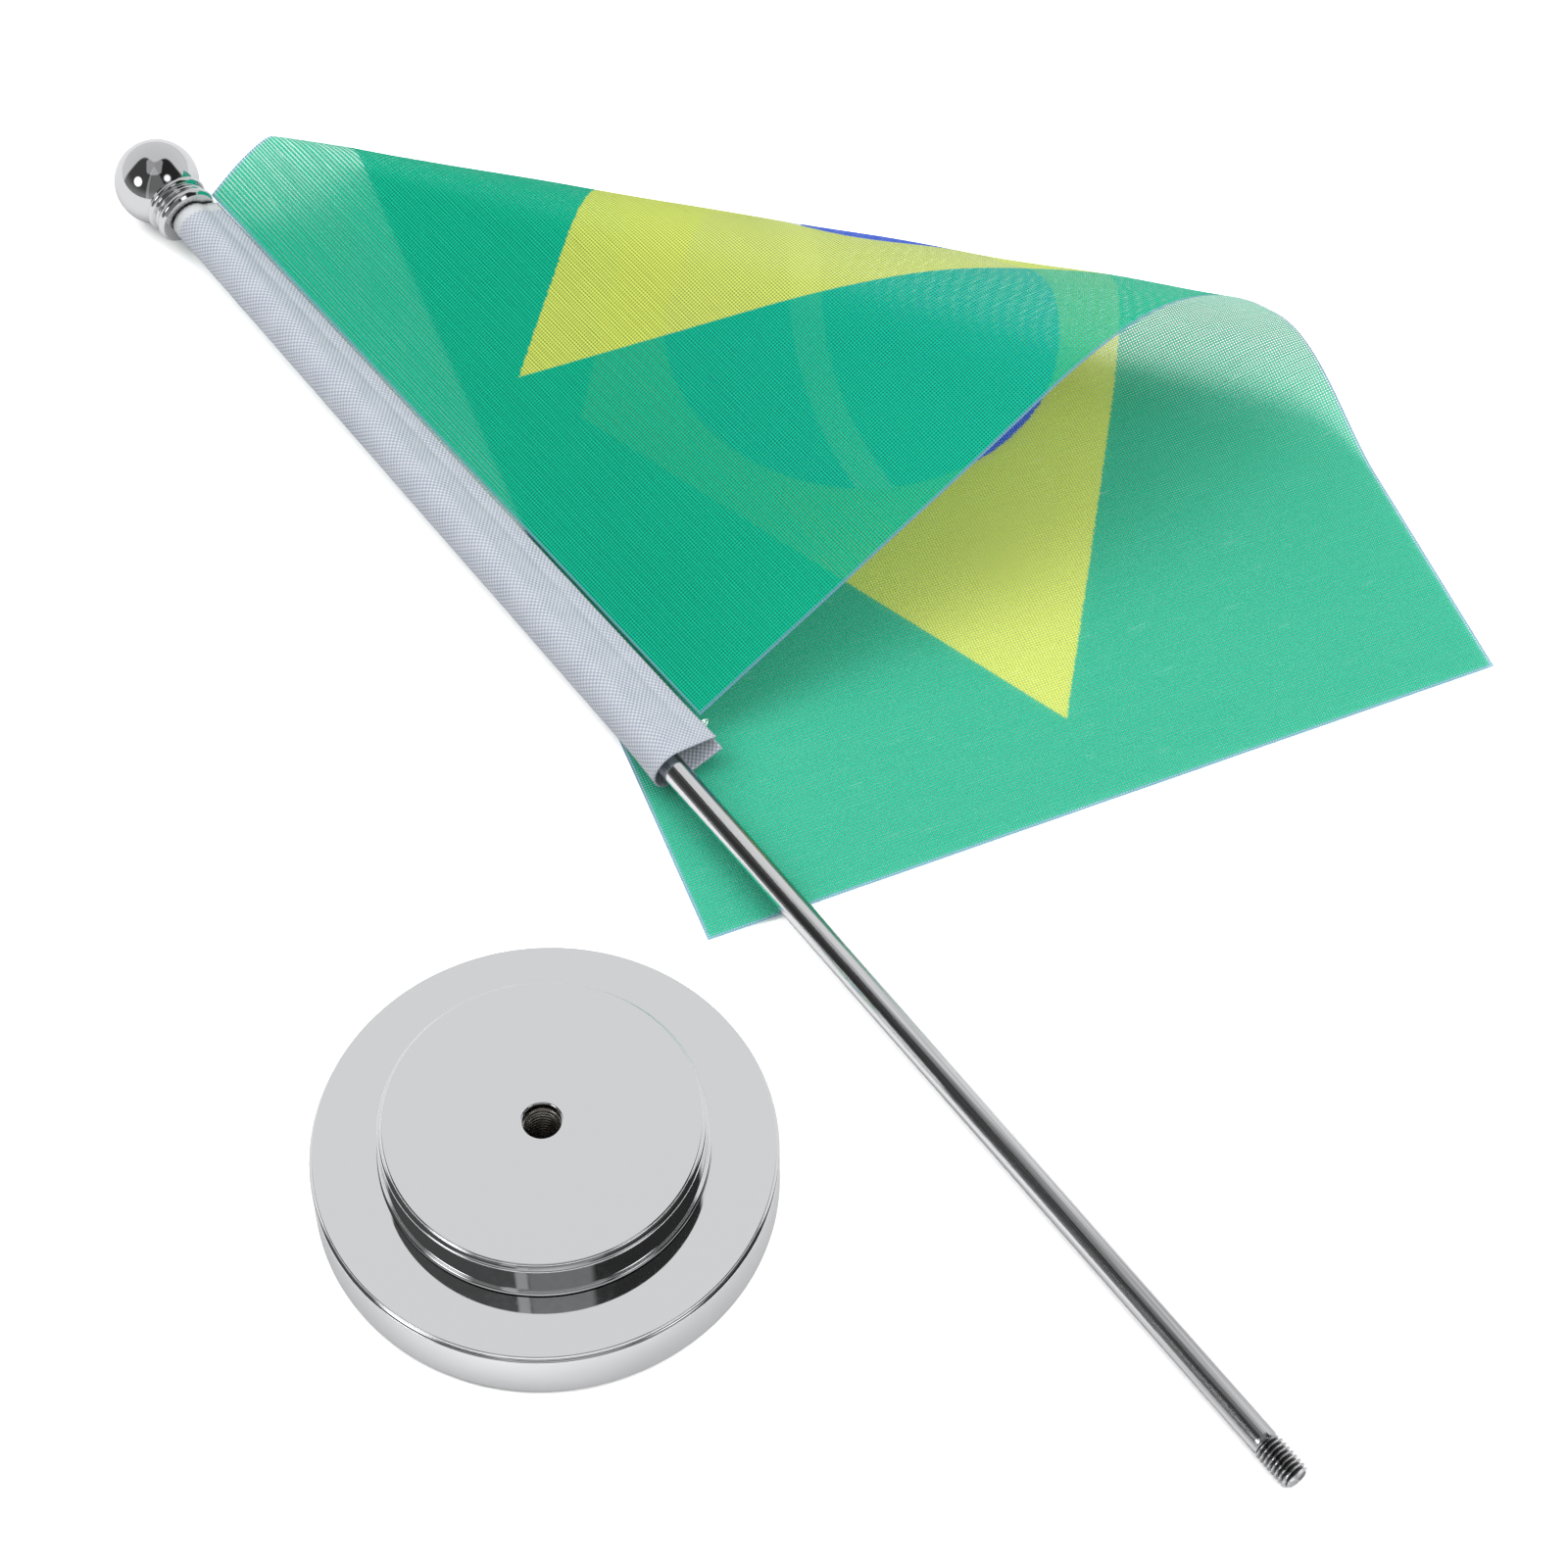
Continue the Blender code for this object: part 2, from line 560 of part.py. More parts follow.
if __name__ == "__main__":
    build()
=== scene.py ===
"""Desk flag stand, unscrewed and laid out on a table.

A chrome base in two steps, a steel pole with a ball finial, and a printed flag that hangs on
the pole by a white sleeve and is folded once under itself.
"""
import json
import math

import bmesh
import bpy
import numpy as np
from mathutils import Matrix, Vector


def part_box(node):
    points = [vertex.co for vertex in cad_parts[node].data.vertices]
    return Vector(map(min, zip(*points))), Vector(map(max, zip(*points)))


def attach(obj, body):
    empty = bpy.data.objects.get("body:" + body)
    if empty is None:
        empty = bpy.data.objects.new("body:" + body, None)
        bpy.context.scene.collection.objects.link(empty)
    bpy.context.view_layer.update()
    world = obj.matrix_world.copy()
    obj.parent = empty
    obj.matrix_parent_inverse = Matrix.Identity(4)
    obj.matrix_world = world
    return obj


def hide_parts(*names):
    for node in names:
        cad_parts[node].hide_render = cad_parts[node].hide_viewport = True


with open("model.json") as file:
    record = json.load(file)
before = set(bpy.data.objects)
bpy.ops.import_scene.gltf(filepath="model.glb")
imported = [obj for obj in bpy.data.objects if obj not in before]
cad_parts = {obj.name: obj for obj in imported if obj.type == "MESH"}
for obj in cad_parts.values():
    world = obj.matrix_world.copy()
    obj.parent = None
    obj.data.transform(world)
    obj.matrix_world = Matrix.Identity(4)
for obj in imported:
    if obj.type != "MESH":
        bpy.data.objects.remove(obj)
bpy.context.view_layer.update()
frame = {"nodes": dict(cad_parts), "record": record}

# ---- table, camera and light ------------------------------------------------------------------
# A white table, four soft lamps and a grey room with one darker side, as in a small studio.
# Polished metal takes its greys from that room, so the room is part of how the chrome looks.
# The table shows darker in polished metal than it does by itself, so that edges stand out.
scene = bpy.context.scene
scene.view_settings.view_transform = "Standard"


def link_mix(tree, factor, first, second):
    """Mix two colours, each a socket or a plain colour, by a factor socket."""
    node = tree.nodes.new("ShaderNodeMixRGB")
    tree.links.new(factor, node.inputs[0])
    for index, colour in ((1, first), (2, second)):
        if isinstance(colour, tuple):
            node.inputs[index].default_value = (*colour, 1)
        else:
            tree.links.new(colour, node.inputs[index])
    return node.outputs[0]


TABLE_SIZE = 6.0
table_mesh = bpy.data.meshes.new("table_top")
table_mesh.from_pydata([(-TABLE_SIZE, -TABLE_SIZE, 0), (TABLE_SIZE, -TABLE_SIZE, 0),
                        (TABLE_SIZE, TABLE_SIZE, 0), (-TABLE_SIZE, TABLE_SIZE, 0)],
                       [], [(0, 1, 2, 3)])
table_top = bpy.data.objects.new("table_top", table_mesh)
scene.collection.objects.link(table_top)
table_white = bpy.data.materials.new("table_white")
table_white.use_nodes = True
tree = table_white.node_tree
table_shader = tree.nodes["Principled BSDF"]
ray = tree.nodes.new("ShaderNodeLightPath")
table_tone = link_mix(tree, ray.outputs["Is Glossy Ray"], (0.93, 0.93, 0.93), (0.40, 0.40, 0.405))
tree.links.new(table_tone, table_shader.inputs["Base Color"])
table_shader.inputs["Roughness"].default_value = 0.9
table_shader.inputs["Specular IOR Level"].default_value = 0.1
table_mesh.materials.append(table_white)

CAMERA_PLACE = np.array([0.0358, -0.3131, 0.5830])
CAMERA_TARGET = np.array([0.0358, 0.0722, 0.0])
camera_data = bpy.data.cameras.new("camera")
camera_data.lens = 99.9
camera_data.sensor_width = 36.0
camera_data.clip_start = 0.01
camera = bpy.data.objects.new("camera", camera_data)
scene.collection.objects.link(camera)
camera.location = CAMERA_PLACE
tilt = math.atan2(CAMERA_TARGET[1] - CAMERA_PLACE[1], CAMERA_PLACE[2] - CAMERA_TARGET[2])
camera.rotation_euler = (tilt, 0, 0)
scene.camera = camera


def soft_lamp(name, place, size, watts):
    """A square lamp that faces the middle of the layout. Polished metal doesn't show it."""
    lamp = bpy.data.lights.new(name, "AREA")
    lamp.shape = "SQUARE"
    lamp.size = size
    lamp.energy = watts
    holder = bpy.data.objects.new(name, lamp)
    scene.collection.objects.link(holder)
    towards = np.array([0.03, 0.07, 0.0]) - np.array(place)
    flat = math.hypot(towards[0], towards[1])
    holder.location = place
    holder.rotation_euler = (math.atan2(flat, -towards[2]), 0,
                             math.atan2(towards[1], towards[0]) - math.pi / 2)
    holder.visible_glossy = False


soft_lamp("lamp_left", (-0.85, 0.25, 1.05), 0.9, 20.0)
soft_lamp("lamp_right", (0.95, -0.05, 1.05), 0.9, 19.0)
soft_lamp("lamp_top", (0.0, 0.35, 1.40), 1.0, 13.0)
soft_lamp("lamp_low", (0.75, -0.75, 0.45), 0.7, 7.0)

room = bpy.data.worlds.new("studio_room")
scene.world = room
room.use_nodes = True


def link_math(tree, operation, first, second=None, third=None, clamp=False):
    """A Math node; each input is a socket or a plain number."""
    node = tree.nodes.new("ShaderNodeMath")
    node.operation = operation
    node.use_clamp = clamp
    for index, value in enumerate((first, second, third)):
        if value is None:
            continue
        if isinstance(value, (int, float)):
            node.inputs[index].default_value = value
        else:
            tree.links.new(value, node.inputs[index])
    return node.outputs[0]


def link_range(tree, value, low, high, to_low, to_high, smooth=True):
    """A Map Range node, smooth at both ends unless told otherwise."""
    node = tree.nodes.new("ShaderNodeMapRange")
    node.interpolation_type = "SMOOTHSTEP" if smooth else "LINEAR"
    node.inputs["From Min"].default_value = low
    node.inputs["From Max"].default_value = high
    node.inputs["To Min"].default_value = to_low
    node.inputs["To Max"].default_value = to_high
    tree.links.new(value, node.inputs["Value"])
    return node.outputs[0]


tree = room.node_tree
way = tree.nodes.new("ShaderNodeTexCoord")
split = tree.nodes.new("ShaderNodeSeparateXYZ")
tree.links.new(way.outputs["Generated"], split.inputs[0])
x_way, y_way, z_way = split.outputs


def weighed(x_weight, y_weight, z_weight):
    """A direction's part along a weighed sum of the three axes."""
    total = link_math(tree, "MULTIPLY", x_way, x_weight)
    total = link_math(tree, "ADD", total, link_math(tree, "MULTIPLY", y_way, y_weight))
    return link_math(tree, "ADD", total, link_math(tree, "MULTIPLY", z_way, z_weight))


# The dark side: all in front of the table, up to just past overhead, with paler uprights in it,
# a pale window high up and two small soft lamps.
sideways = link_math(tree, "ABSOLUTE", x_way)
aside = link_math(tree, "MULTIPLY", link_range(tree, sideways, 0.0, 0.42, 0.0, 0.26),
                  link_range(tree, sideways, 0.42, 0.95, 1.0, 0.1))
in_front = link_math(tree, "ADD", weighed(0.0, -0.88, 0.19), aside)
dark = link_range(tree, in_front, -0.05, 0.06, 0.0, 1.0)
turn = link_math(tree, "ARCTAN2", x_way, link_math(tree, "MULTIPLY", y_way, -1.0))
shade = link_range(tree, turn, 0.52, 0.62, 0.17, 0.025)
shade = link_math(tree, "MULTIPLY", shade, link_range(tree, turn, -0.26, -0.20, 0.38, 1.0))
upright = link_math(tree, "MULTIPLY", link_range(tree, turn, -0.42, -0.38, 0.0, 0.24),
                    link_range(tree, turn, -0.27, -0.23, 1.0, 0.0))
shade = link_math(tree, "ADD", shade, upright)
window = link_math(tree, "MULTIPLY",
                   link_range(tree, link_math(tree, "ABSOLUTE", x_way), 0.30, 0.36, 0.34, 0.0),
                   link_range(tree, z_way, 0.89, 0.92, 0.0, 1.0))
shade = link_math(tree, "ADD", shade, window)
low = link_range(tree, z_way, 0.05, 0.45, 0.16, 0.0)
shade = link_math(tree, "ADD", shade, low)
grey = link_range(tree, z_way, 0.0, 0.9, 0.78, 0.70, smooth=False)
level = link_math(tree, "ADD", link_math(tree, "MULTIPLY", grey,
                                         link_math(tree, "SUBTRACT", 1.0, dark)),
                  link_math(tree, "MULTIPLY", shade, dark))
for way_to, spread, glow in (((-0.70, -0.48, 0.53), 0.028, 3.0),
                             ((0.587, -0.42, 0.69), 0.022, 1.6)):
    spot = link_range(tree, weighed(*way_to), 1 - spread, 1 - spread * 0.1, 0.0, glow)
    level = link_math(tree, "ADD", level, spot)
tree.links.new(level, tree.nodes["Background"].inputs["Strength"])
tree.nodes["Background"].inputs["Color"].default_value = (0.985, 0.99, 1.0, 1)

# ---- base plate and hub -----------------------------------------------------------------------
# Two turned discs, nickel and chrome plated to a mirror. Each has a rim of two fine rounded
# steps. Three screws from below pull the hub on to the plate.
plate_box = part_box("base_disc")
hub_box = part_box("hub_disc")
PLATE_RADIUS = (plate_box[1][0] - plate_box[0][0]) / 2
PLATE_TOP = plate_box[1][2]
PLATE_BOTTOM = plate_box[0][2]
HUB_RADIUS = 0.0245
HUB_TOP = hub_box[1][2]
HUB_BOTTOM = hub_box[0][2]
LIP_HEIGHT = 0.0021
MOUTH_RADIUS = 0.0029
MOUTH_DEPTH = 0.0013


def arc_points(centre_r, centre_z, radius, start, end, steps):
    """Points of an arc in the (radius, height) plane; degrees, 0 outwards and 90 up."""
    angles = np.radians(np.linspace(start, end, steps + 1))
    return [(centre_r + radius * math.cos(a), centre_z + radius * math.sin(a)) for a in angles]


def with_holding_points(profile, closed):
    """Put a point close to each end of every long side, so that flats shade flat."""
    points = []
    count = len(profile)
    for index in range(count if closed else count - 1):
        start = np.array(profile[index])
        end = np.array(profile[(index + 1) % count])
        points.append(start)
        length = np.linalg.norm(end - start)
        if length > 0.00025:
            inset = min(0.00006, length * 0.2)
            step = (end - start) * inset / length
            points += [start + step, end - step]
    if not closed:
        points.append(np.array(profile[-1]))
    return np.array(points)


def grid_mesh(name, points, wrap_rows, wrap_columns, uv=None):
    """A mesh of quads over a grid of points, rows by columns, wrapped round either way.

    points has the shape (rows, columns, 3). uv, if given, has one row and one column more
    than the points where the grid wraps, so that the map doesn't run backwards there.
    """
    rows, columns = points.shape[:2]
    row_cells = rows if wrap_rows else rows - 1
    column_cells = columns if wrap_columns else columns - 1
    i, j = np.meshgrid(np.arange(row_cells), np.arange(column_cells), indexing="ij")
    down = (i + 1) % rows
    right = (j + 1) % columns
    quads = np.stack([i * columns + j, down * columns + j, down * columns + right,
                      i * columns + right], axis=-1).reshape(-1, 4)
    mesh = bpy.data.meshes.new(name)
    mesh.vertices.add(rows * columns)
    mesh.vertices.foreach_set("co", points.reshape(-1).astype(np.float32))
    mesh.loops.add(quads.size)
    mesh.loops.foreach_set("vertex_index", quads.reshape(-1).astype(np.int32))
    mesh.polygons.add(len(quads))
    mesh.polygons.foreach_set("loop_start", np.arange(0, quads.size, 4, dtype=np.int32))
    if uv is not None:
        corners = np.stack([uv[i, j], uv[i + 1, j], uv[i + 1, j + 1], uv[i, j + 1]], axis=2)
        layer = mesh.uv_layers.new(name="UVMap")
        layer.data.foreach_set("uv", corners.reshape(-1).astype(np.float32))
    mesh.update(calc_edges=True)
    mesh.shade_smooth()
    return mesh


def turned_mesh(name, profile, steps, closed, along=(0, 0, 1), start=(0, 0, 0)):
    """A turned surface: the profile (radius, distance) carried round an axis.

    Point(angle, k) = start + along * distance_k + radius_k * (side cos angle + other sin angle).
    """
    points = with_holding_points(profile, closed)
    along = np.array(along, dtype=float)
    side, other = square_to(along)
    angles = np.linspace(0, 2 * math.pi, steps, endpoint=False)
    ring = np.outer(np.cos(angles), side) + np.outer(np.sin(angles), other)
    grid = (np.array(start) + points[:, None, 1:2] * along
            + points[:, None, 0:1] * ring[None, :, :])
    mesh = grid_mesh(name, grid, closed, True)
    mesh.set_sharp_from_angle(angle=math.radians(40))
    return mesh


def square_to(along):
    """Two unit vectors square to a direction and to each other; the first is level."""
    side = np.array([along[1], -along[0], 0.0])
    if np.linalg.norm(side) < 1e-6:
        side = np.array([1.0, 0.0, 0.0])
    side /= np.linalg.norm(side)
    return side, np.cross(along, side)


def place_piece(name, mesh, finish, body, slot, *stands_for):
    """Put a piece in the scene, on its body, with its finish and the CAD nodes it replaces."""
    piece = bpy.data.objects.new(name, mesh)
    scene.collection.objects.link(piece)
    mesh.materials.append(finish)
    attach(piece, body)
    if stands_for:
        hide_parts(*stands_for)
    return piece


def stepped_lip(radius, top, inset):
    """The rim of a disc, from its wall up to its flat face, in two fine rounded steps."""
    step = inset / 2
    fall = LIP_HEIGHT / 2
    bead = 0.55 * step
    points = []
    for k in range(2):
        outer = radius - k * step
        rise = top - LIP_HEIGHT + (k + 1) * fall
        points.append((outer, rise - fall + 0.00012 * k))
        points += arc_points(outer - bead, rise - bead, bead, 0, 90, 6)
    return points


def new_finish(name, metallic, roughness=0.5):
    """A Principled material, with its node tree and its shader."""
    finish = bpy.data.materials.new(name)
    finish.use_nodes = True
    shader = finish.node_tree.nodes["Principled BSDF"]
    shader.inputs["Metallic"].default_value = metallic
    shader.inputs["Roughness"].default_value = roughness
    return finish, finish.node_tree, shader


def noise_at(tree, vector, scale, detail=2.0, roughness=0.5):
    """A Noise texture's grey value on a coordinate."""
    node = tree.nodes.new("ShaderNodeTexNoise")
    node.inputs["Scale"].default_value = scale
    node.inputs["Detail"].default_value = detail
    node.inputs["Roughness"].default_value = roughness
    tree.links.new(vector, node.inputs["Vector"])
    return node.outputs[0]


def add_bump(tree, shader, height, distance, strength=1.0):
    """A Bump node from a height value into the shader's normal."""
    bump = tree.nodes.new("ShaderNodeBump")
    bump.inputs["Distance"].default_value = distance
    bump.inputs["Strength"].default_value = strength
    tree.links.new(height, bump.inputs["Height"])
    tree.links.new(bump.outputs["Normal"], shader.inputs["Normal"])


def chrome_finish(name, shine, waviness):
    """Chrome plate: a mirror with faint swirls of polish, fine specks and a slight ripple."""
    finish, tree, shader = new_finish(name, 1.0)
    place = tree.nodes.new("ShaderNodeTexCoord").outputs["Object"]
    polish = noise_at(tree, place, 900.0, 3.0)
    rough = link_range(tree, polish, 0.35, 0.75, 0.025, 0.07)
    speck = tree.nodes.new("ShaderNodeTexVoronoi")
    speck.inputs["Scale"].default_value = 190.0
    tree.links.new(place, speck.inputs["Vector"])
    dot = link_range(tree, speck.outputs["Distance"], 0.02, 0.05, 1.0, 0.0)
    chance = tree.nodes.new("ShaderNodeSeparateColor")
    tree.links.new(speck.outputs["Color"], chance.inputs[0])
    seldom = link_range(tree, chance.outputs[0], 0.93, 0.94, 0.0, 1.0)
    pit = link_math(tree, "MULTIPLY", dot, seldom)
    tree.links.new(link_math(tree, "MULTIPLY_ADD", pit, 0.5, rough), shader.inputs["Roughness"])
    tree.links.new(link_mix(tree, pit, shine, (0.35, 0.35, 0.35)), shader.inputs["Base Color"])
    ripple = noise_at(tree, place, 60.0, 1.0)
    add_bump(tree, shader, ripple, waviness)
    return finish


base_chrome = chrome_finish("base_chrome", (0.90, 0.905, 0.91), 0.000006)

plate_profile = [(0.0043, PLATE_BOTTOM + 0.0011), (0.0330, PLATE_BOTTOM + 0.0011),
                 (0.0330, PLATE_BOTTOM), (PLATE_RADIUS - 0.0004, PLATE_BOTTOM)]
plate_profile += arc_points(PLATE_RADIUS - 0.0004, PLATE_BOTTOM + 0.0004, 0.0004, -75, 0, 4)
plate_profile += stepped_lip(PLATE_RADIUS, PLATE_TOP, 0.0007)
plate_profile += [(0.0043, PLATE_TOP)]
place_piece("base_plate", turned_mesh("base_plate", plate_profile, 256, True),
            base_chrome, "stand", "chrome_plate", "base_disc")

hub_profile = [(0.0067, HUB_BOTTOM), (HUB_RADIUS + 0.0005, HUB_BOTTOM)]
hub_profile += arc_points(HUB_RADIUS + 0.0005, HUB_BOTTOM + 0.0005, 0.0005, 270, 180, 6)
hub_profile += stepped_lip(HUB_RADIUS, HUB_TOP, 0.0011)
hub_profile += arc_points(MOUTH_RADIUS + 0.0003, HUB_TOP - 0.0003, 0.0003, 90, 180, 4)
hub_profile += [(MOUTH_RADIUS, HUB_TOP - MOUTH_DEPTH), (0.0043, HUB_TOP - MOUTH_DEPTH),
                (0.0043, HUB_BOTTOM + 0.0022), (0.0067, HUB_BOTTOM + 0.0022)]
place_piece("base_hub", turned_mesh("base_hub", hub_profile, 256, True),
            base_chrome, "stand", "chrome_plate", "hub_disc")

# ---- threaded bush ----------------------------------------------------------------------------
# A flanged bush clamped between the two discs, with a metric thread of 0.8 mm pitch that the
# rod screws into. Only its bore shows, down the mouth in the hub.
bush_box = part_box("thread_bush")
BUSH_BOTTOM = bush_box[0][2]
BUSH_TOP = bush_box[1][2]
BUSH_FLANGE_RADIUS = (bush_box[1][0] - bush_box[0][0]) / 2
BORE_RADIUS = 0.00265
BUSH_RADIUS = 0.0040
THREAD_PITCH = 0.0008


def thread_height(turns):
    """Height of a rounded thread, 0 at the root to 1 at the crest, by turns along and round."""
    share = np.abs((turns % 1.0) - 0.5) * 2
    return np.clip(1.6 - 2.2 * share, 0, 1)


def bush_mesh():
    """The bush: a closed profile carried round Z, with a screw thread cut into its bore.

    Point(angle, k) = (radius_k + cut * thread(height_k / pitch - angle / turn), height_k), and
    the cut is nothing except on the bore, where it fades out at both ends.
    """
    bore_heights = np.linspace(BUSH_BOTTOM, BUSH_TOP - 0.0003, 150)
    flange_low = HUB_BOTTOM + 0.0003
    outer = [(BORE_RADIUS + 0.0003, BUSH_TOP), (BUSH_RADIUS, BUSH_TOP),
             (BUSH_RADIUS, flange_low + 0.0016), (BUSH_FLANGE_RADIUS, flange_low + 0.0016),
             (BUSH_FLANGE_RADIUS, flange_low), (BUSH_RADIUS, flange_low),
             (BUSH_RADIUS, BUSH_BOTTOM)]
    radius = np.concatenate([np.full(150, BORE_RADIUS), [p[0] for p in outer]])
    height = np.concatenate([bore_heights, [p[1] for p in outer]])
    depth = np.concatenate([np.full(150, -0.00022), np.zeros(len(outer))])
    ends = np.minimum(height - BUSH_BOTTOM, BUSH_TOP - 0.0003 - height)
    depth *= np.clip(ends / 0.0004, 0, 1)
    angles = np.linspace(0, 2 * math.pi, 64, endpoint=False)
    turns = height[:, None] / THREAD_PITCH - angles[None, :] / (2 * math.pi)
    far = radius[:, None] + depth[:, None] * thread_height(turns)
    grid = np.stack([far * np.cos(angles), far * np.sin(angles),
                     np.broadcast_to(height[:, None], far.shape)], axis=-1)
    mesh = grid_mesh("thread_bush_cut", grid[::-1], True, True)
    mesh.set_sharp_from_angle(angle=math.radians(50))
    return mesh


def turned_metal(name, colour, roughness, scale):
    """Turned metal with a fine noise in its gloss and a slight unevenness."""
    finish, tree, shader = new_finish(name, 1.0)
    shader.inputs["Base Color"].default_value = (*colour, 1)
    place = tree.nodes.new("ShaderNodeTexCoord").outputs["Object"]
    grain = noise_at(tree, place, scale, 3.0)
    tree.links.new(link_range(tree, grain, 0.3, 0.7, roughness * 0.6, roughness * 1.5),
                   shader.inputs["Roughness"])
    add_bump(tree, shader, grain, 0.00001)
    return finish


bush_metal = turned_metal("bush_metal", (0.42, 0.40, 0.37), 0.25, 2500.0)
place_piece("bush", bush_mesh(), bush_metal, "stand", "brass", "thread_bush")

# ---- screws and pad under the base ------------------------------------------------------------
# Three countersunk zinc-plated screws and a stuck-on disc of black felt that covers them.
zinc = turned_metal("zinc_plate", (0.55, 0.56, 0.58), 0.35, 1800.0)
for name in ("hub_screw_1", "hub_screw_2", "hub_screw_3"):
    frame["nodes"][name].data.materials.clear()
    frame["nodes"][name].data.materials.append(zinc)

felt, tree, shader = new_finish("black_felt", 0.0, 0.95)
place = tree.nodes.new("ShaderNodeTexCoord").outputs["Object"]
fibres = noise_at(tree, place, 4200.0, 4.0, 0.7)
tree.links.new(link_mix(tree, fibres, (0.010, 0.010, 0.011), (0.045, 0.045, 0.047)),
               shader.inputs["Base Color"])
shader.inputs["Sheen Weight"].default_value = 0.4
add_bump(tree, shader, fibres, 0.0002)
frame["nodes"]["base_pad"].data.materials.clear()
frame["nodes"]["base_pad"].data.materials.append(felt)

# ---- rod --------------------------------------------------------------------------------------
# A drawn and polished steel rod, 4.4 mm thick, with a rolled thread on its lower end. Its frame
# has its origin at the threaded tip: along it to the ball, aside level towards the flag, above.
joints = {joint["name"]: joint for joint in frame["record"]["behaviour"]["joints"]}
rod_tip = np.array(joints["pole_turn"]["pos_m"])
rod_along = -np.array(joints["pole_turn"]["axis"])
rod_along /= np.linalg.norm(rod_along)
rod_aside = np.array([rod_along[1], -rod_along[0], 0.0])
rod_aside /= np.linalg.norm(rod_aside)
rod_above = np.cross(rod_along, rod_aside)
ROD_RADIUS = 0.0022
ROD_LENGTH = 0.2973
THREAD_LENGTH = 0.0070
THREAD_CREST = 0.00235
THREAD_ROOT = 0.00178


def on_rod(aside, above, along):
    """World points from distances in the rod's frame."""
    aside, above, along = np.broadcast_arrays(aside, above, along)
    return (rod_tip + aside[..., None] * rod_aside + above[..., None] * rod_above
            + along[..., None] * rod_along)


def close_poles(mesh):
    """Merge the points that meet on an axis, so that the end of a turned shape is closed."""
    shape = bmesh.new()
    shape.from_mesh(mesh)
    bmesh.ops.remove_doubles(shape, verts=shape.verts, dist=1e-6)
    shape.to_mesh(mesh)
    shape.free()


def rod_mesh():
    """The rod: radius(distance, angle) carried along its axis, closed by its two end faces.

    On the lower end the radius is root + (crest - root) * thread(distance / pitch - angle /
    turn), faded in over the first half turn; above the thread it is the plain rod.
    """
    threaded = np.linspace(0.00025, THREAD_LENGTH - 0.0002, 130)
    plain = np.concatenate([[THREAD_LENGTH, THREAD_LENGTH + 0.00025],
                            np.linspace(0.0080, ROD_LENGTH - 0.0006, 60),
                            [ROD_LENGTH - 0.0004]])
    along = np.concatenate([[0.0, 0.0, 0.0], threaded, plain, [ROD_LENGTH, ROD_LENGTH]])
    plain_radius = np.full(len(plain), ROD_RADIUS)
    plain_radius[0] = ROD_RADIUS - 0.0001
    radius = np.concatenate([[0.0, THREAD_ROOT - 0.0004, THREAD_ROOT - 0.0002],
                             np.full(130, THREAD_ROOT), plain_radius, [ROD_RADIUS - 0.0004, 0.0]])
    growth = np.zeros(len(along))
    growth[3:133] = ((THREAD_CREST - THREAD_ROOT)
                     * np.clip((threaded - 0.0002) / 0.0003, 0, 1)
                     * np.clip((THREAD_LENGTH - threaded) / 0.0005, 0, 1))
    angles = np.linspace(0, 2 * math.pi, 72, endpoint=False)
    turns = along[:, None] / THREAD_PITCH - angles[None, :] / (2 * math.pi)
    far = radius[:, None] + growth[:, None] * thread_height(turns)
    grid = on_rod(far * np.cos(angles), far * np.sin(angles), along[:, None])
    around = np.linspace(0, 1, 73)
    uv = np.stack(np.broadcast_arrays(around[None, :], along[:, None]), axis=-1)
    mesh = grid_mesh("rod", grid, False, True, uv)
    close_poles(mesh)
    mesh.set_sharp_from_angle(angle=math.radians(50))
    return mesh


def uv_place(tree):
    """The piece's own UV coordinates."""
    node = tree.nodes.new("ShaderNodeUVMap")
    node.uv_map = "UVMap"
    return node.outputs[0]


def parted(tree, vector):
    """The parts of a vector, as three sockets."""
    node = tree.nodes.new("ShaderNodeSeparateXYZ")
    tree.links.new(vector, node.inputs[0])
    return node.outputs


def scaled(tree, vector, x_scale, y_scale):
    """A coordinate with its first two parts scaled."""
    node = tree.nodes.new("ShaderNodeMapping")
    node.inputs["Scale"].default_value = (x_scale, y_scale, 1.0)
    tree.links.new(vector, node.inputs["Vector"])
    return node.outputs[0]


# Drawing leaves streaks along the rod and fine scratches, in its gloss and its bumps. Dark and
# bright bands along the rod are painted reflection in the steel's colour. The roots of the thread
# are dark with painted shade.
steel, tree, shader = new_finish("polished_steel", 1.0)
round_and_along = uv_place(tree)
streaks = noise_at(tree, scaled(tree, round_and_along, 26.0, 14.0), 1.0, 3.0, 0.6)
scratches = noise_at(tree, scaled(tree, round_and_along, 260.0, 900.0), 1.0, 2.0, 0.6)
reflection_band_noise = noise_at(tree, scaled(tree, round_and_along, 9.0, 5.0), 1.0, 3.0, 0.6)
around, along, _ = parted(tree, round_and_along)
# Painted shade: the roots of the thread are darkened in the steel's colour, between the crests.
turned = link_math(tree, "SUBTRACT", link_math(tree, "DIVIDE", along, THREAD_PITCH), around)
from_crest = link_math(tree, "ABSOLUTE", link_math(tree, "SUBTRACT",
                                                   link_math(tree, "FRACT", turned), 0.5))
root = link_math(tree, "MULTIPLY", link_range(tree, from_crest, 0.26, 0.38, 0.0, 1.0),
                 link_range(tree, along, THREAD_LENGTH - 0.0002, THREAD_LENGTH, 1.0, 0.0))
# Painted reflection: dark and bright bands along the rod, put into the steel's colour.
painted_reflection_bands = link_mix(tree, link_range(tree, reflection_band_noise, 0.40, 0.58, 0.0, 1.0),
                 (0.36, 0.36, 0.365), (0.86, 0.86, 0.865))
tree.links.new(link_mix(tree, root, painted_reflection_bands, (0.07, 0.07, 0.072)), shader.inputs["Base Color"])
tree.links.new(link_range(tree, streaks, 0.3, 0.7, 0.06, 0.16), shader.inputs["Roughness"])
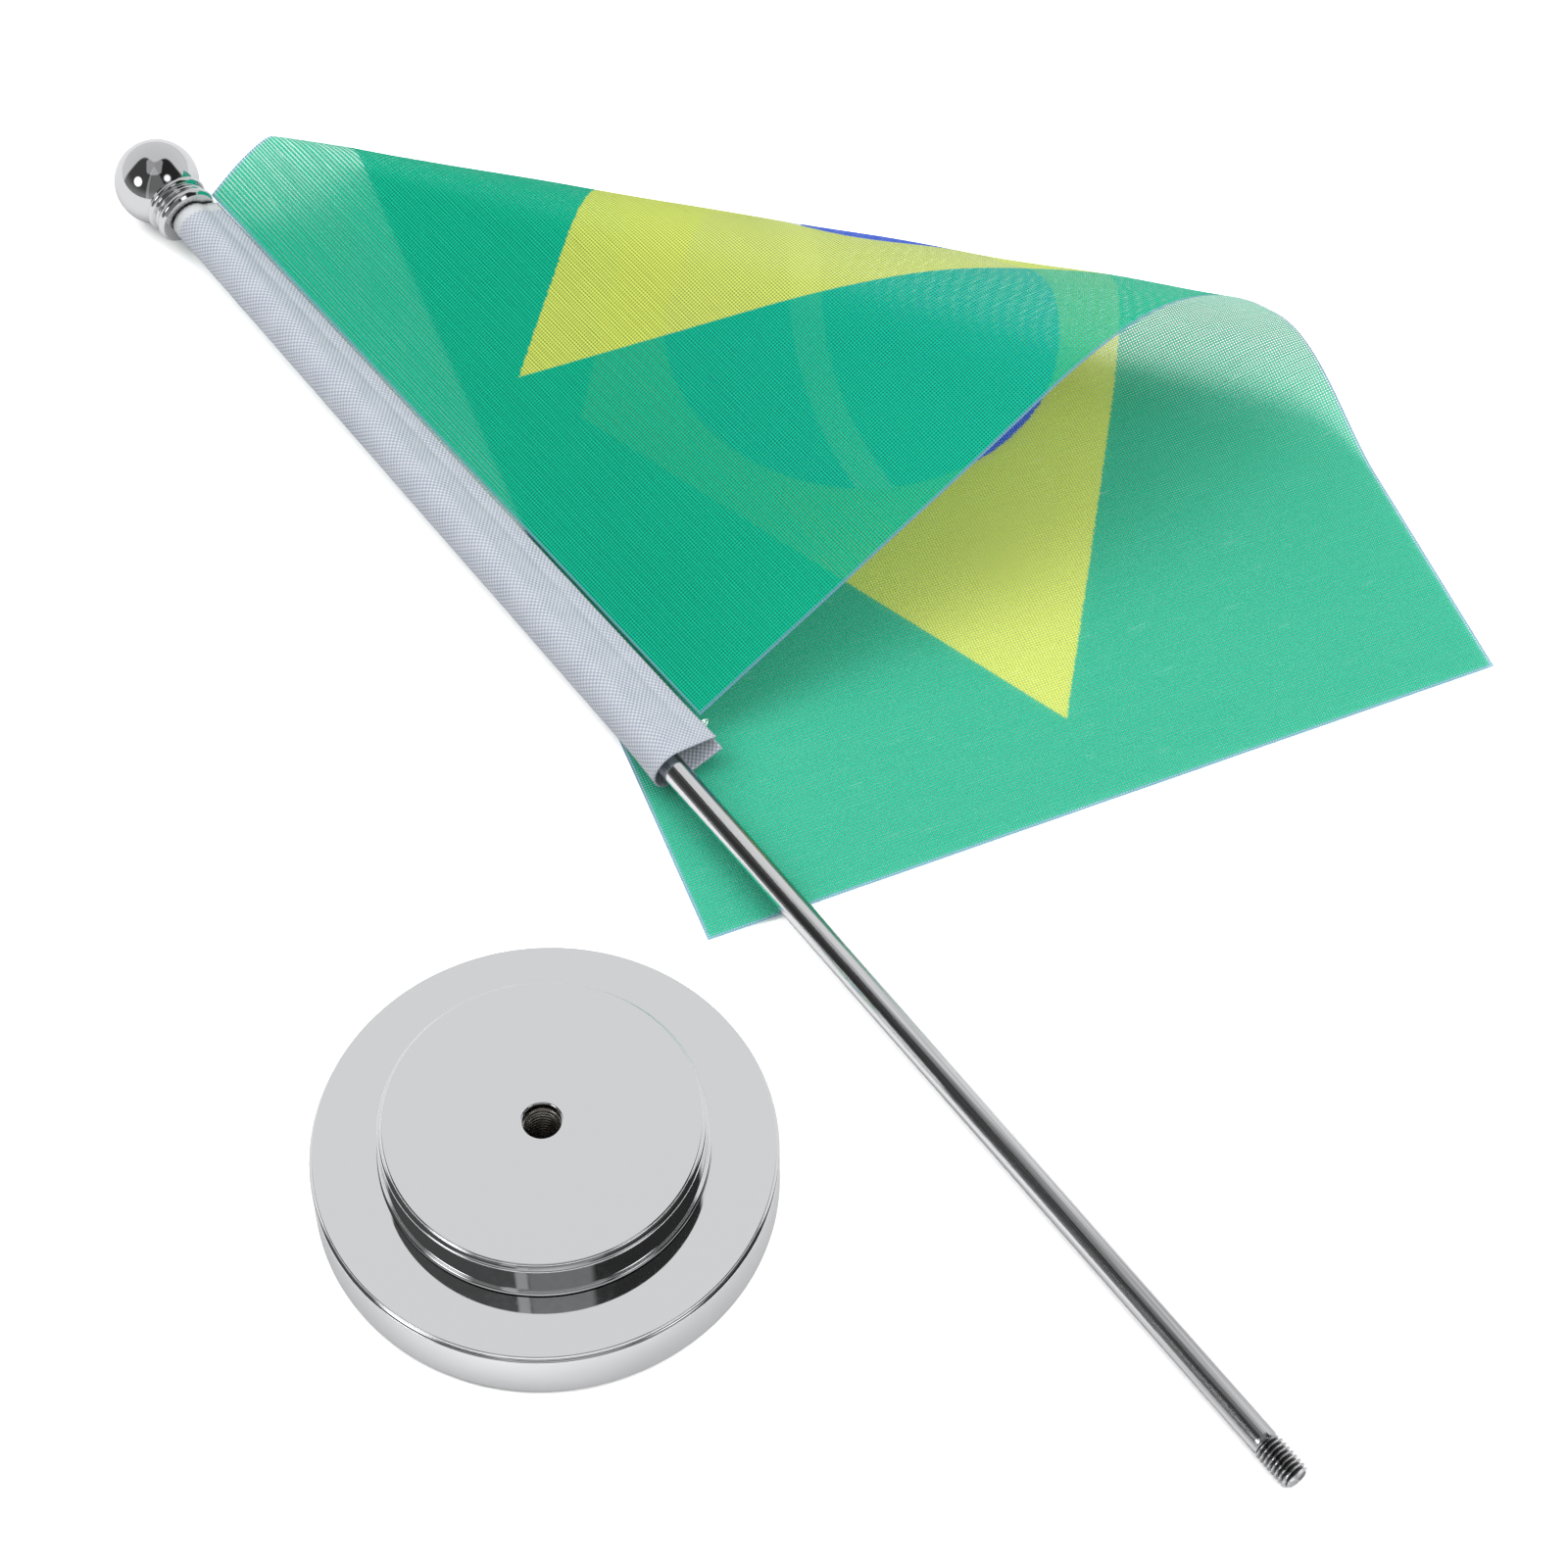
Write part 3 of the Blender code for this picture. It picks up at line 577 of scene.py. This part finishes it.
height = link_math(tree, "ADD", streaks, link_math(tree, "MULTIPLY", scratches, 0.12))
add_bump(tree, shader, height, 0.00006)
place_piece("rod", rod_mesh(), steel, "pole", "polished_steel", "pole")

# ---- ball finial and its collar ---------------------------------------------------------------
# A chromed ball, 14.8 mm across, on a turned collar with a wide ring, a groove, a thin ring and
# a flared end that stops the sleeve.
BALL_RADIUS = 0.0074
BALL_CENTRE = 0.3050
COLLAR_TOP = BALL_CENTRE - 0.0056
COLLAR_BOTTOM = BALL_CENTRE - 0.0102
finial_chrome = chrome_finish("finial_chrome", (0.72, 0.72, 0.725), 0.000002)


def ball_mesh():
    """The ball: a half circle from pole to pole, carried round the rod's axis."""
    latitudes = np.radians(np.linspace(-90, 90, 97))
    far = BALL_RADIUS * np.cos(latitudes)
    far[[0, -1]] = 0.0
    angles = np.linspace(0, 2 * math.pi, 128, endpoint=False)
    grid = on_rod(far[:, None] * np.cos(angles), far[:, None] * np.sin(angles),
                  (BALL_CENTRE + BALL_RADIUS * np.sin(latitudes))[:, None])
    mesh = grid_mesh("ball", grid, False, True)
    close_poles(mesh)
    return mesh


place_piece("ball", ball_mesh(), finial_chrome, "ball", "chrome_plate", "finial_ball")

cup_radius = BALL_RADIUS + 0.0003
cup_rim = math.degrees(math.acos(0.0050 / cup_radius))
cup_floor = math.degrees(math.acos(0.0025 / cup_radius))
collar_profile = arc_points(0, BALL_CENTRE, cup_radius, -cup_floor, -cup_rim, 8)
collar_profile += arc_points(0.0050, COLLAR_TOP - 0.0007, 0.0007, 70, -80, 14)
collar_profile += [(0.0046, COLLAR_TOP - 0.0016), (0.0046, COLLAR_TOP - 0.0018)]
collar_profile += arc_points(0.0047, COLLAR_TOP - 0.0022, 0.0004, 80, -80, 10)
collar_profile += [(0.0045, COLLAR_TOP - 0.0028)]
collar_profile += arc_points(0.0045, COLLAR_BOTTOM + 0.0009, 0.0010, 60, -30, 8)
collar_profile += [(0.0050, COLLAR_BOTTOM), (0.0025, COLLAR_BOTTOM)]
place_piece("collar", turned_mesh("collar", collar_profile[::-1], 128, True, rod_along, rod_tip),
            finial_chrome, "collar", "chrome_plate", "finial_collar")

# ---- sleeve -----------------------------------------------------------------------------------
# A strip of thin white polyester folded round the rod and sewn to itself and to the flag along
# one seam. It is open at both ends, cut straight at the top and flared at the bottom.
SLEEVE_TOP = COLLAR_BOTTOM - 0.0003
SLEEVE_LENGTH = 0.1418
WRAP_RADIUS = 0.0032
EDGE_TOP = 0.0057
EDGE_BOTTOM = 0.0089
SEAM_INSET = 0.0026
SLEEVE_CLOTH = 0.00022


def sleeve_mesh():
    """The strip: an outline round the rod, carried from the top of the sleeve to its mouth.

    Outline(t) runs straight from the upper layer's free edge to where it touches the wrap
    circle, round the rod and straight back along the lower layer, with a shallow dip at the
    seam. The free edge moves out and the wrap opens towards the mouth; slow waves along the
    length stand for the pull of the stitches.
    """
    share = np.linspace(0, 1, 240)[:, None]
    t = np.linspace(0, 1, 97)[None, :]
    flare = np.clip((share - 0.93) / 0.07, 0, 1) ** 1.6
    edge = EDGE_TOP + (EDGE_BOTTOM - EDGE_TOP) * share
    wrap = WRAP_RADIUS + 0.0001 + 0.0004 * flare
    start = np.arccos(wrap / edge)
    turn = np.clip((t - 0.30) / 0.40, 0, 1) * (2 * math.pi - 2 * start) + start
    out = np.maximum(np.clip((0.30 - t) / 0.30, 0, 1), np.clip((t - 0.70) / 0.30, 0, 1))
    aside = wrap * np.cos(turn) * (1 - out) + edge * out
    side = np.where(t < 0.5, 1.0, -1.0)
    gap = 0.00016 + 0.0009 * flare * (1 - 0.5 * out)
    above = wrap * np.sin(turn) * (1 - out) + side * gap * out
    seam = np.exp(-((aside - (edge - SEAM_INSET)) / 0.0007) ** 2) * (out > 0)
    pull = np.sin(share * 58) * 0.5 + np.sin(share * 91 + 1.3) * 0.5
    above = above - side * seam * (0.00022 + 0.00006 * pull) * (1 - flare)
    above = above + 0.00008 * pull * out * (1 - out) * 4 + 0.00003 * pull
    along = SLEEVE_TOP - SLEEVE_LENGTH * share + 0 * t
    lean = np.clip((share - 0.94) / 0.06, 0, 1)
    along = along - 0.0012 * lean * (t < 0.5) * (0.5 - t) * 2
    along = along + 0.0010 * lean * (t > 0.5) * (t - 0.5)
    grid = on_rod(aside, above, along)
    lengths = np.linalg.norm(np.diff(grid, axis=1), axis=-1)
    across = np.concatenate([np.zeros((240, 1)), np.cumsum(lengths, axis=1)], axis=1)
    uv = np.stack(np.broadcast_arrays(across, SLEEVE_LENGTH * share), axis=-1)
    return grid_mesh("sleeve", grid[::-1], False, False, uv[::-1])


def weave_pattern(tree, coordinates, pitch_x, pitch_y, diagonal=False):
    """Height of a plain weave on flat cloth coordinates in metres: 1 on a yarn, 0 at a gap."""
    first, second, _ = parted(tree, coordinates)
    if diagonal:
        first, second = (link_math(tree, "ADD", first, second),
                         link_math(tree, "SUBTRACT", first, second))
    wave_x = link_math(tree, "SINE", link_math(tree, "MULTIPLY", first, 2 * math.pi / pitch_x))
    wave_y = link_math(tree, "SINE", link_math(tree, "MULTIPLY", second, 2 * math.pi / pitch_y))
    return link_math(tree, "MULTIPLY_ADD", link_math(tree, "ADD", wave_x, wave_y), 0.25, 0.5)


def thin_cloth(tree, shader, colour, through, holes):
    """Let a cloth pass light: a share by scattering, and a share straight through its pores."""
    glow = tree.nodes.new("ShaderNodeBsdfTranslucent")
    tree.links.new(colour, glow.inputs["Color"])
    first = tree.nodes.new("ShaderNodeMixShader")
    first.inputs[0].default_value = through
    tree.links.new(shader.outputs[0], first.inputs[1])
    tree.links.new(glow.outputs[0], first.inputs[2])
    clear = tree.nodes.new("ShaderNodeBsdfTransparent")
    second = tree.nodes.new("ShaderNodeMixShader")
    if isinstance(holes, float):
        second.inputs[0].default_value = holes
    else:
        tree.links.new(holes, second.inputs[0])
    tree.links.new(first.outputs[0], second.inputs[1])
    tree.links.new(clear.outputs[0], second.inputs[2])
    tree.links.new(second.outputs[0], tree.nodes["Material Output"].inputs["Surface"])


sleeve_white, tree, shader = new_finish("sleeve_white", 0.0, 0.65)
flat = uv_place(tree)
weave = weave_pattern(tree, flat, 0.00085, 0.00085, diagonal=True)
dots = link_range(tree, weave, 0.35, 0.85, 0.0, 1.0)
cloudy = noise_at(tree, flat, 260.0, 2.0)
plain = link_mix(tree, link_range(tree, cloudy, 0.3, 0.7, 0.0, 1.0),
                 (0.235, 0.265, 0.32), (0.27, 0.295, 0.345))
tone = link_mix(tree, dots, plain, (0.46, 0.47, 0.49))
down_sleeve = parted(tree, flat)[1]
near_top = link_range(tree, down_sleeve, 0.0016, 0.0024, 1.0, 0.0)
tone = link_mix(tree, near_top, tone, (0.44, 0.45, 0.46))
tree.links.new(tone, shader.inputs["Base Color"])
add_bump(tree, shader, weave, 0.00007)
thin_cloth(tree, shader, tone, 0.25, 0.03)
sleeve = place_piece("sleeve", sleeve_mesh(), sleeve_white, "flag", "white_cloth", "flag_sleeve")
thicken = sleeve.modifiers.new("cloth_thickness", "SOLIDIFY")
thicken.thickness = SLEEVE_CLOTH
thicken.offset = 0.0

# ---- stitches ---------------------------------------------------------------------------------
# One row of white lockstitch along the seam, with the cut ends of the thread left as a small
# tuft at the flag's lower corner.
STITCH_PITCH = 0.0025
STITCH_RADIUS = 0.00016


def turn_outwards(mesh):
    """Turn every closed shell's faces outwards."""
    shape = bmesh.new()
    shape.from_mesh(mesh)
    bmesh.ops.recalc_face_normals(shape, faces=shape.faces)
    shape.to_mesh(mesh)
    shape.free()


def stitch_mesh():
    """Slim rounded threads: a ring of five points carried along each stitch's bent centre line."""
    count = int((SLEEVE_LENGTH - 0.0085) / STITCH_PITCH)
    starts = SLEEVE_TOP - 0.0030 - STITCH_PITCH * np.arange(count)
    step = np.linspace(0, 1, 7)
    along = starts[:, None] - step * STITCH_PITCH * 0.90
    share = (SLEEVE_TOP - along) / SLEEVE_LENGTH
    aside = EDGE_TOP + (EDGE_BOTTOM - EDGE_TOP) * share - SEAM_INSET
    edge = EDGE_TOP + (EDGE_BOTTOM - EDGE_TOP) * share
    wrap = WRAP_RADIUS + 0.0001
    slope = wrap / np.sqrt(edge ** 2 - wrap ** 2)
    above = (edge - aside) * slope + 0.00010 + 0.00014 * np.sin(step * math.pi)[None, :]
    centres = on_rod(aside, above, along)
    fat = STITCH_RADIUS * np.sqrt(np.maximum(np.sin(step * math.pi), 0.05))
    rng = np.random.default_rng(7)
    corner = on_rod(np.array(EDGE_BOTTOM - 0.0002), np.array(0.0012),
                    np.array(SLEEVE_TOP - SLEEVE_LENGTH + 0.0048))
    bend = rng.normal(size=(7, 3)) * 0.0005
    reach = (rod_aside * 0.0014 - rod_along * 0.0004)[None, :] + rng.normal(size=(7, 3)) * 0.0005
    reach[:, 2] = np.abs(reach[:, 2])
    bend[:, 2] = np.abs(bend[:, 2])
    tuft = (corner + reach[:, None, :] * step[None, :, None]
            + bend[:, None, :] * np.sin(step * math.pi)[None, :, None])
    centres = np.concatenate([centres, tuft])
    radii = np.broadcast_to(fat, centres.shape[:2])
    ring = np.linspace(0, 2 * math.pi, 5, endpoint=False)
    points = (centres[:, :, None, :] + radii[:, :, None, None]
              * (np.cos(ring)[:, None] * rod_aside + np.sin(ring)[:, None] * rod_above))
    threads, rings, sides = points.shape[:3]
    a, b, c = np.meshgrid(np.arange(threads), np.arange(rings - 1), np.arange(sides),
                          indexing="ij")
    base = a * rings * sides
    nxt = (c + 1) % sides
    quads = np.stack([base + b * sides + c, base + (b + 1) * sides + c,
                      base + (b + 1) * sides + nxt, base + b * sides + nxt], -1).reshape(-1, 4)
    caps = [list(range(t * rings * sides, t * rings * sides + sides)) for t in range(threads)]
    caps += [list(range((t + 1) * rings * sides - 1, (t + 1) * rings * sides - sides - 1, -1))
             for t in range(threads)]
    mesh = bpy.data.meshes.new("stitches")
    mesh.from_pydata(points.reshape(-1, 3).tolist(), [], quads.tolist() + caps)
    turn_outwards(mesh)
    mesh.shade_smooth()
    return mesh


thread_white, tree, shader = new_finish("thread_white", 0.0, 0.6)
place = tree.nodes.new("ShaderNodeTexCoord").outputs["Object"]
twist = noise_at(tree, place, 9000.0, 2.0)
tree.links.new(link_mix(tree, twist, (0.60, 0.62, 0.64), (0.82, 0.82, 0.82)),
               shader.inputs["Base Color"])
add_bump(tree, shader, twist, 0.00003)
place_piece("stitches", stitch_mesh(), thread_white, "flag", "white_thread", "sleeve_stitching")

# ---- flag -------------------------------------------------------------------------------------
# One sheet of thin printed polyester, 210 by 140 mm, cut with a hot knife so it has no hem. It
# rises from the sleeve, goes over a long soft crest, and runs back flat under itself.
FLAG_LENGTH = 0.210
FLAG_WIDTH = 0.140
FLAG_FLOOR = 0.0006
FOLD_HEADING = math.radians(-13.4)


def edge_profile(start_height, leave, rise, rise_length, crest_radius, fall, turn_radius):
    """One long edge of the flag in the upright plane across the fold, by its own length.

    It leaves the sleeve at one slope and bends to the next, goes over the crest in an arc,
    down a straight back, under in a second arc and then flat over the table. The back is as
    long as it takes to come down to the table. Angles are slopes in radians.
    """
    pieces = 60
    climb = np.linspace(leave, rise, 2 * pieces + 1)[1::2]
    drop = (start_height - FLAG_FLOOR + rise_length * np.sin(climb).mean()
            + crest_radius * (math.cos(fall) - math.cos(rise))
            - turn_radius * (1 + math.cos(fall)))
    back = max(drop, 0) / math.sin(fall)
    crest = np.linspace(rise, -fall, 2 * pieces + 1)[1::2]
    under = np.linspace(-fall, -math.pi, 2 * pieces + 1)[1::2]
    slopes = np.concatenate([climb, crest, np.full(pieces, -fall), under,
                             np.full(pieces, -math.pi)])
    lengths = [rise_length, crest_radius * (rise + fall), back,
               turn_radius * (math.pi - fall), 0.26]
    steps = np.concatenate([np.full(pieces, length / pieces) for length in lengths])
    run = np.concatenate([[0], np.cumsum(steps)])
    outward = np.concatenate([[0], np.cumsum(np.cos(slopes) * steps)])
    height = start_height + np.concatenate([[0], np.cumsum(np.sin(slopes) * steps)])
    return run, outward, height, np.cumsum(lengths[:4])


def flag_mesh():
    """The flag: straight lines that join points of its two long edges with the same slope.

    Each edge drifts along the fold at a steady rate while its profile carries it over, round
    and back under. Ripples of a quarter of a millimetre run mostly across the fold, and the
    cloth bulges a little beside the top of the sleeve.
    """
    along_fold = np.array([math.cos(FOLD_HEADING), math.sin(FOLD_HEADING), 0])
    across_fold = np.array([-math.sin(FOLD_HEADING), math.cos(FOLD_HEADING), 0])
    cells = (48, 60, 24, 72, 80)
    sides = []
    lengths_along = []
    for along, aside, drift, profile in (
            (0.2960, 0.0054, 0.569,
             edge_profile(0.0080, 1.00, 0.558, 0.0111, 0.0015, 0.850, 0.0027)),
            (0.1582, 0.0092, 0.586,
             edge_profile(0.0053, 0.45, 0.560, 0.0606, 0.0253, 1.121, 0.0145))):
        run, outward, height, ends = profile
        pace = math.sqrt(1 - drift * drift)
        root = on_rod(np.array(aside), np.array(0.0), np.array(along))
        root[2] = 0
        points = (root + np.multiply.outer(drift / pace * run, along_fold)
                  + np.multiply.outer(outward, across_fold)
                  + np.multiply.outer(height, np.array([0, 0, 1.0])))
        stops = np.concatenate([[0], ends / pace, [FLAG_LENGTH]])
        rows = np.concatenate([np.linspace(a, b, n, endpoint=False)
                               for a, b, n in zip(stops, stops[1:], cells)] + [[FLAG_LENGTH]])
        rows[0] = 0.0002
        lengths_along.append(rows)
        sides.append(np.stack([np.interp(rows, run / pace, points[:, k]) for k in range(3)], -1))
    share = np.linspace(0, 1, 141)[None, :, None]
    grid = sides[0][:, None, :] * (1 - share) + sides[1][:, None, :] * share
    flat_u = (lengths_along[0][:, None] * (1 - share[..., 0])
              + lengths_along[1][:, None] * share[..., 0])
    flat_v = share[..., 0] * FLAG_WIDTH + 0 * flat_u
    normal = np.cross(np.gradient(grid, axis=0), np.gradient(grid, axis=1))
    normal /= np.linalg.norm(normal, axis=-1, keepdims=True)
    ripple = (np.sin(flat_v * 150 + flat_u * 40) * np.sin(flat_u * 70 + 1.0)
              + 0.6 * np.sin(flat_v * 260 - flat_u * 90 + 2.0)
              + 0.5 * np.sin(flat_u * 210 + flat_v * 60))
    calm = np.clip(flat_u / 0.01, 0, 1) * np.clip((grid[..., 2] - 0.0008) / 0.004, 0.25, 1)
    grid = grid + normal * (0.00012 * ripple * calm)[..., None]
    bulge = 0.0014 * np.sin(np.pi * np.clip(flat_u / 0.0145, 0, 1)) * np.exp(-flat_v / 0.045)
    grid = grid + bulge[..., None] * across_fold
    grid[..., 2] = np.maximum(grid[..., 2], 0.0003)
    uv = np.stack([flat_u, flat_v], axis=-1)
    return grid_mesh("flag", grid, False, False, uv)


# The print, in flat cloth coordinates: long_way from the sleeve, short_way from the ball end. A
# fine wobble makes its edges a little uneven, as ink on yarn is.
GREEN = (0.002, 0.30, 0.18)
YELLOW = (0.41, 0.47, 0.085)
BLUE = (0.02, 0.075, 0.46)
BAND_WHITE = (0.50, 0.54, 0.58)
# The colour of the painted shade along the cloth's cut edges.
PAINTED_EDGE_SHADE = (0.13, 0.22, 0.33)
LOZENGE_HALF_LENGTH = 0.088
LOZENGE_HALF_WIDTH = 0.053
DISC_RADIUS = 0.035
BAND_CENTRE = (0.125, FLAG_WIDTH)
BAND_INNER = 0.0795
BAND_OUTER = 0.0852
PRINT_BLUR = 0.0002
flag_print, tree, shader = new_finish("flag_print", 0.0, 0.75)
flat = uv_place(tree)
true_long, true_short, _ = parted(tree, flat)
wobble = noise_at(tree, flat, 1600.0, 1.0)
jitter = link_math(tree, "MULTIPLY_ADD", wobble, 0.0006, -0.0003)
long_way = link_math(tree, "ADD", true_long, jitter)
short_way = link_math(tree, "ADD", true_short, jitter)


def apart(first, second):
    """How far apart two values are."""
    return link_math(tree, "ABSOLUTE", link_math(tree, "SUBTRACT", first, second))


def distance_from(x, y):
    """Distance on the flat cloth from a point, in metres."""
    dx = link_math(tree, "SUBTRACT", long_way, x)
    dy = link_math(tree, "SUBTRACT", short_way, y)
    squares = link_math(tree, "ADD", link_math(tree, "MULTIPLY", dx, dx),
                        link_math(tree, "MULTIPLY", dy, dy))
    return link_math(tree, "SQRT", squares)


lozenge = link_math(
    tree, "ADD",
    link_math(tree, "DIVIDE", apart(long_way, FLAG_LENGTH / 2), LOZENGE_HALF_LENGTH),
    link_math(tree, "DIVIDE", apart(short_way, FLAG_WIDTH / 2), LOZENGE_HALF_WIDTH))
in_lozenge = link_range(tree, lozenge, 0.996, 1.004, 1.0, 0.0)
in_disc = link_range(tree, distance_from(FLAG_LENGTH / 2, FLAG_WIDTH / 2),
                     DISC_RADIUS - PRINT_BLUR, DISC_RADIUS + PRINT_BLUR, 1.0, 0.0)
band_way = distance_from(*BAND_CENTRE)
in_band = link_math(
    tree, "MULTIPLY",
    link_range(tree, band_way, BAND_INNER - PRINT_BLUR, BAND_INNER + PRINT_BLUR, 0.0, 1.0),
    link_range(tree, band_way, BAND_OUTER - PRINT_BLUR, BAND_OUTER + PRINT_BLUR, 1.0, 0.0))
colour = link_mix(tree, in_lozenge, GREEN, YELLOW)
colour = link_mix(tree, in_disc, colour, BLUE)
colour = link_mix(tree, link_math(tree, "MULTIPLY", in_band, in_disc), colour, BAND_WHITE)
mottle = noise_at(tree, flat, 2600.0, 2.0, 0.6)
colour = link_mix(tree, link_range(tree, mottle, 0.55, 0.8, 0.0, 0.03), colour,
                  (0.62, 0.80, 0.74))

# The cloth: a plain weave that darkens the print between its yarns, thick places in some yarns
# and, beside the sleeve, lines where the yarns stand apart. Light passes at all three.
weave = weave_pattern(tree, flat, 0.00046, 0.00048)
dimmed = tree.nodes.new("ShaderNodeVectorMath")
dimmed.operation = "SCALE"
tree.links.new(colour, dimmed.inputs[0])
tree.links.new(link_range(tree, weave, 0.15, 0.80, 0.55, 1.30), dimmed.inputs["Scale"])
slubs = noise_at(tree, scaled(tree, flat, 1900.0, 130.0), 1.0, 1.0, 0.5)
slub = link_range(tree, slubs, 0.70, 0.80, 0.0, 0.16)
LINE_PITCH = 0.00062
lines = link_math(tree, "SINE", link_math(tree, "MULTIPLY", true_long, 2 * math.pi / LINE_PITCH))
gaps = noise_at(tree, scaled(tree, flat, 1100.0, 60.0), 1.0, 2.0, 0.6)
line = link_math(tree, "MULTIPLY", link_range(tree, lines, 0.30, 0.90, 0.0, 1.0),
                 link_range(tree, gaps, 0.32, 0.60, 0.14, 0.30))
line = link_math(tree, "MULTIPLY", line, link_range(tree, true_long, 0.035, 0.060, 1.0, 0.25))
half_length, half_width = FLAG_LENGTH / 2, FLAG_WIDTH / 2
# Painted shade: a thin dark line along every cut edge of the cloth, put into its colour.
from_edge = link_math(
    tree, "MINIMUM", link_math(tree, "SUBTRACT", half_length, apart(true_long, half_length)),
    link_math(tree, "SUBTRACT", half_width, apart(true_short, half_width)))
rim = link_range(tree, from_edge, 0.0003, 0.0007, 0.85, 0.0)
colour = link_mix(tree, rim, dimmed.outputs[0], PAINTED_EDGE_SHADE)
tree.links.new(colour, shader.inputs["Base Color"])
shader.inputs["Specular IOR Level"].default_value = 0.25
add_bump(tree, shader, link_math(tree, "ADD", weave, link_math(tree, "MULTIPLY", slubs, 0.6)),
         0.00006)
pores = link_math(tree, "MULTIPLY", link_range(tree, weave, 0.12, 0.44, 0.56, 0.05),
                  link_range(tree, true_long, 0.045, 0.100, 0.25, 1.0))
pores = link_math(tree, "ADD", pores, link_math(tree, "ADD", line, slub), clamp=True)
thin_cloth(tree, shader, colour, 0.38, pores)
flag = place_piece("flag", flag_mesh(), flag_print, "flag", "printed_cloth", "flag_cloth")
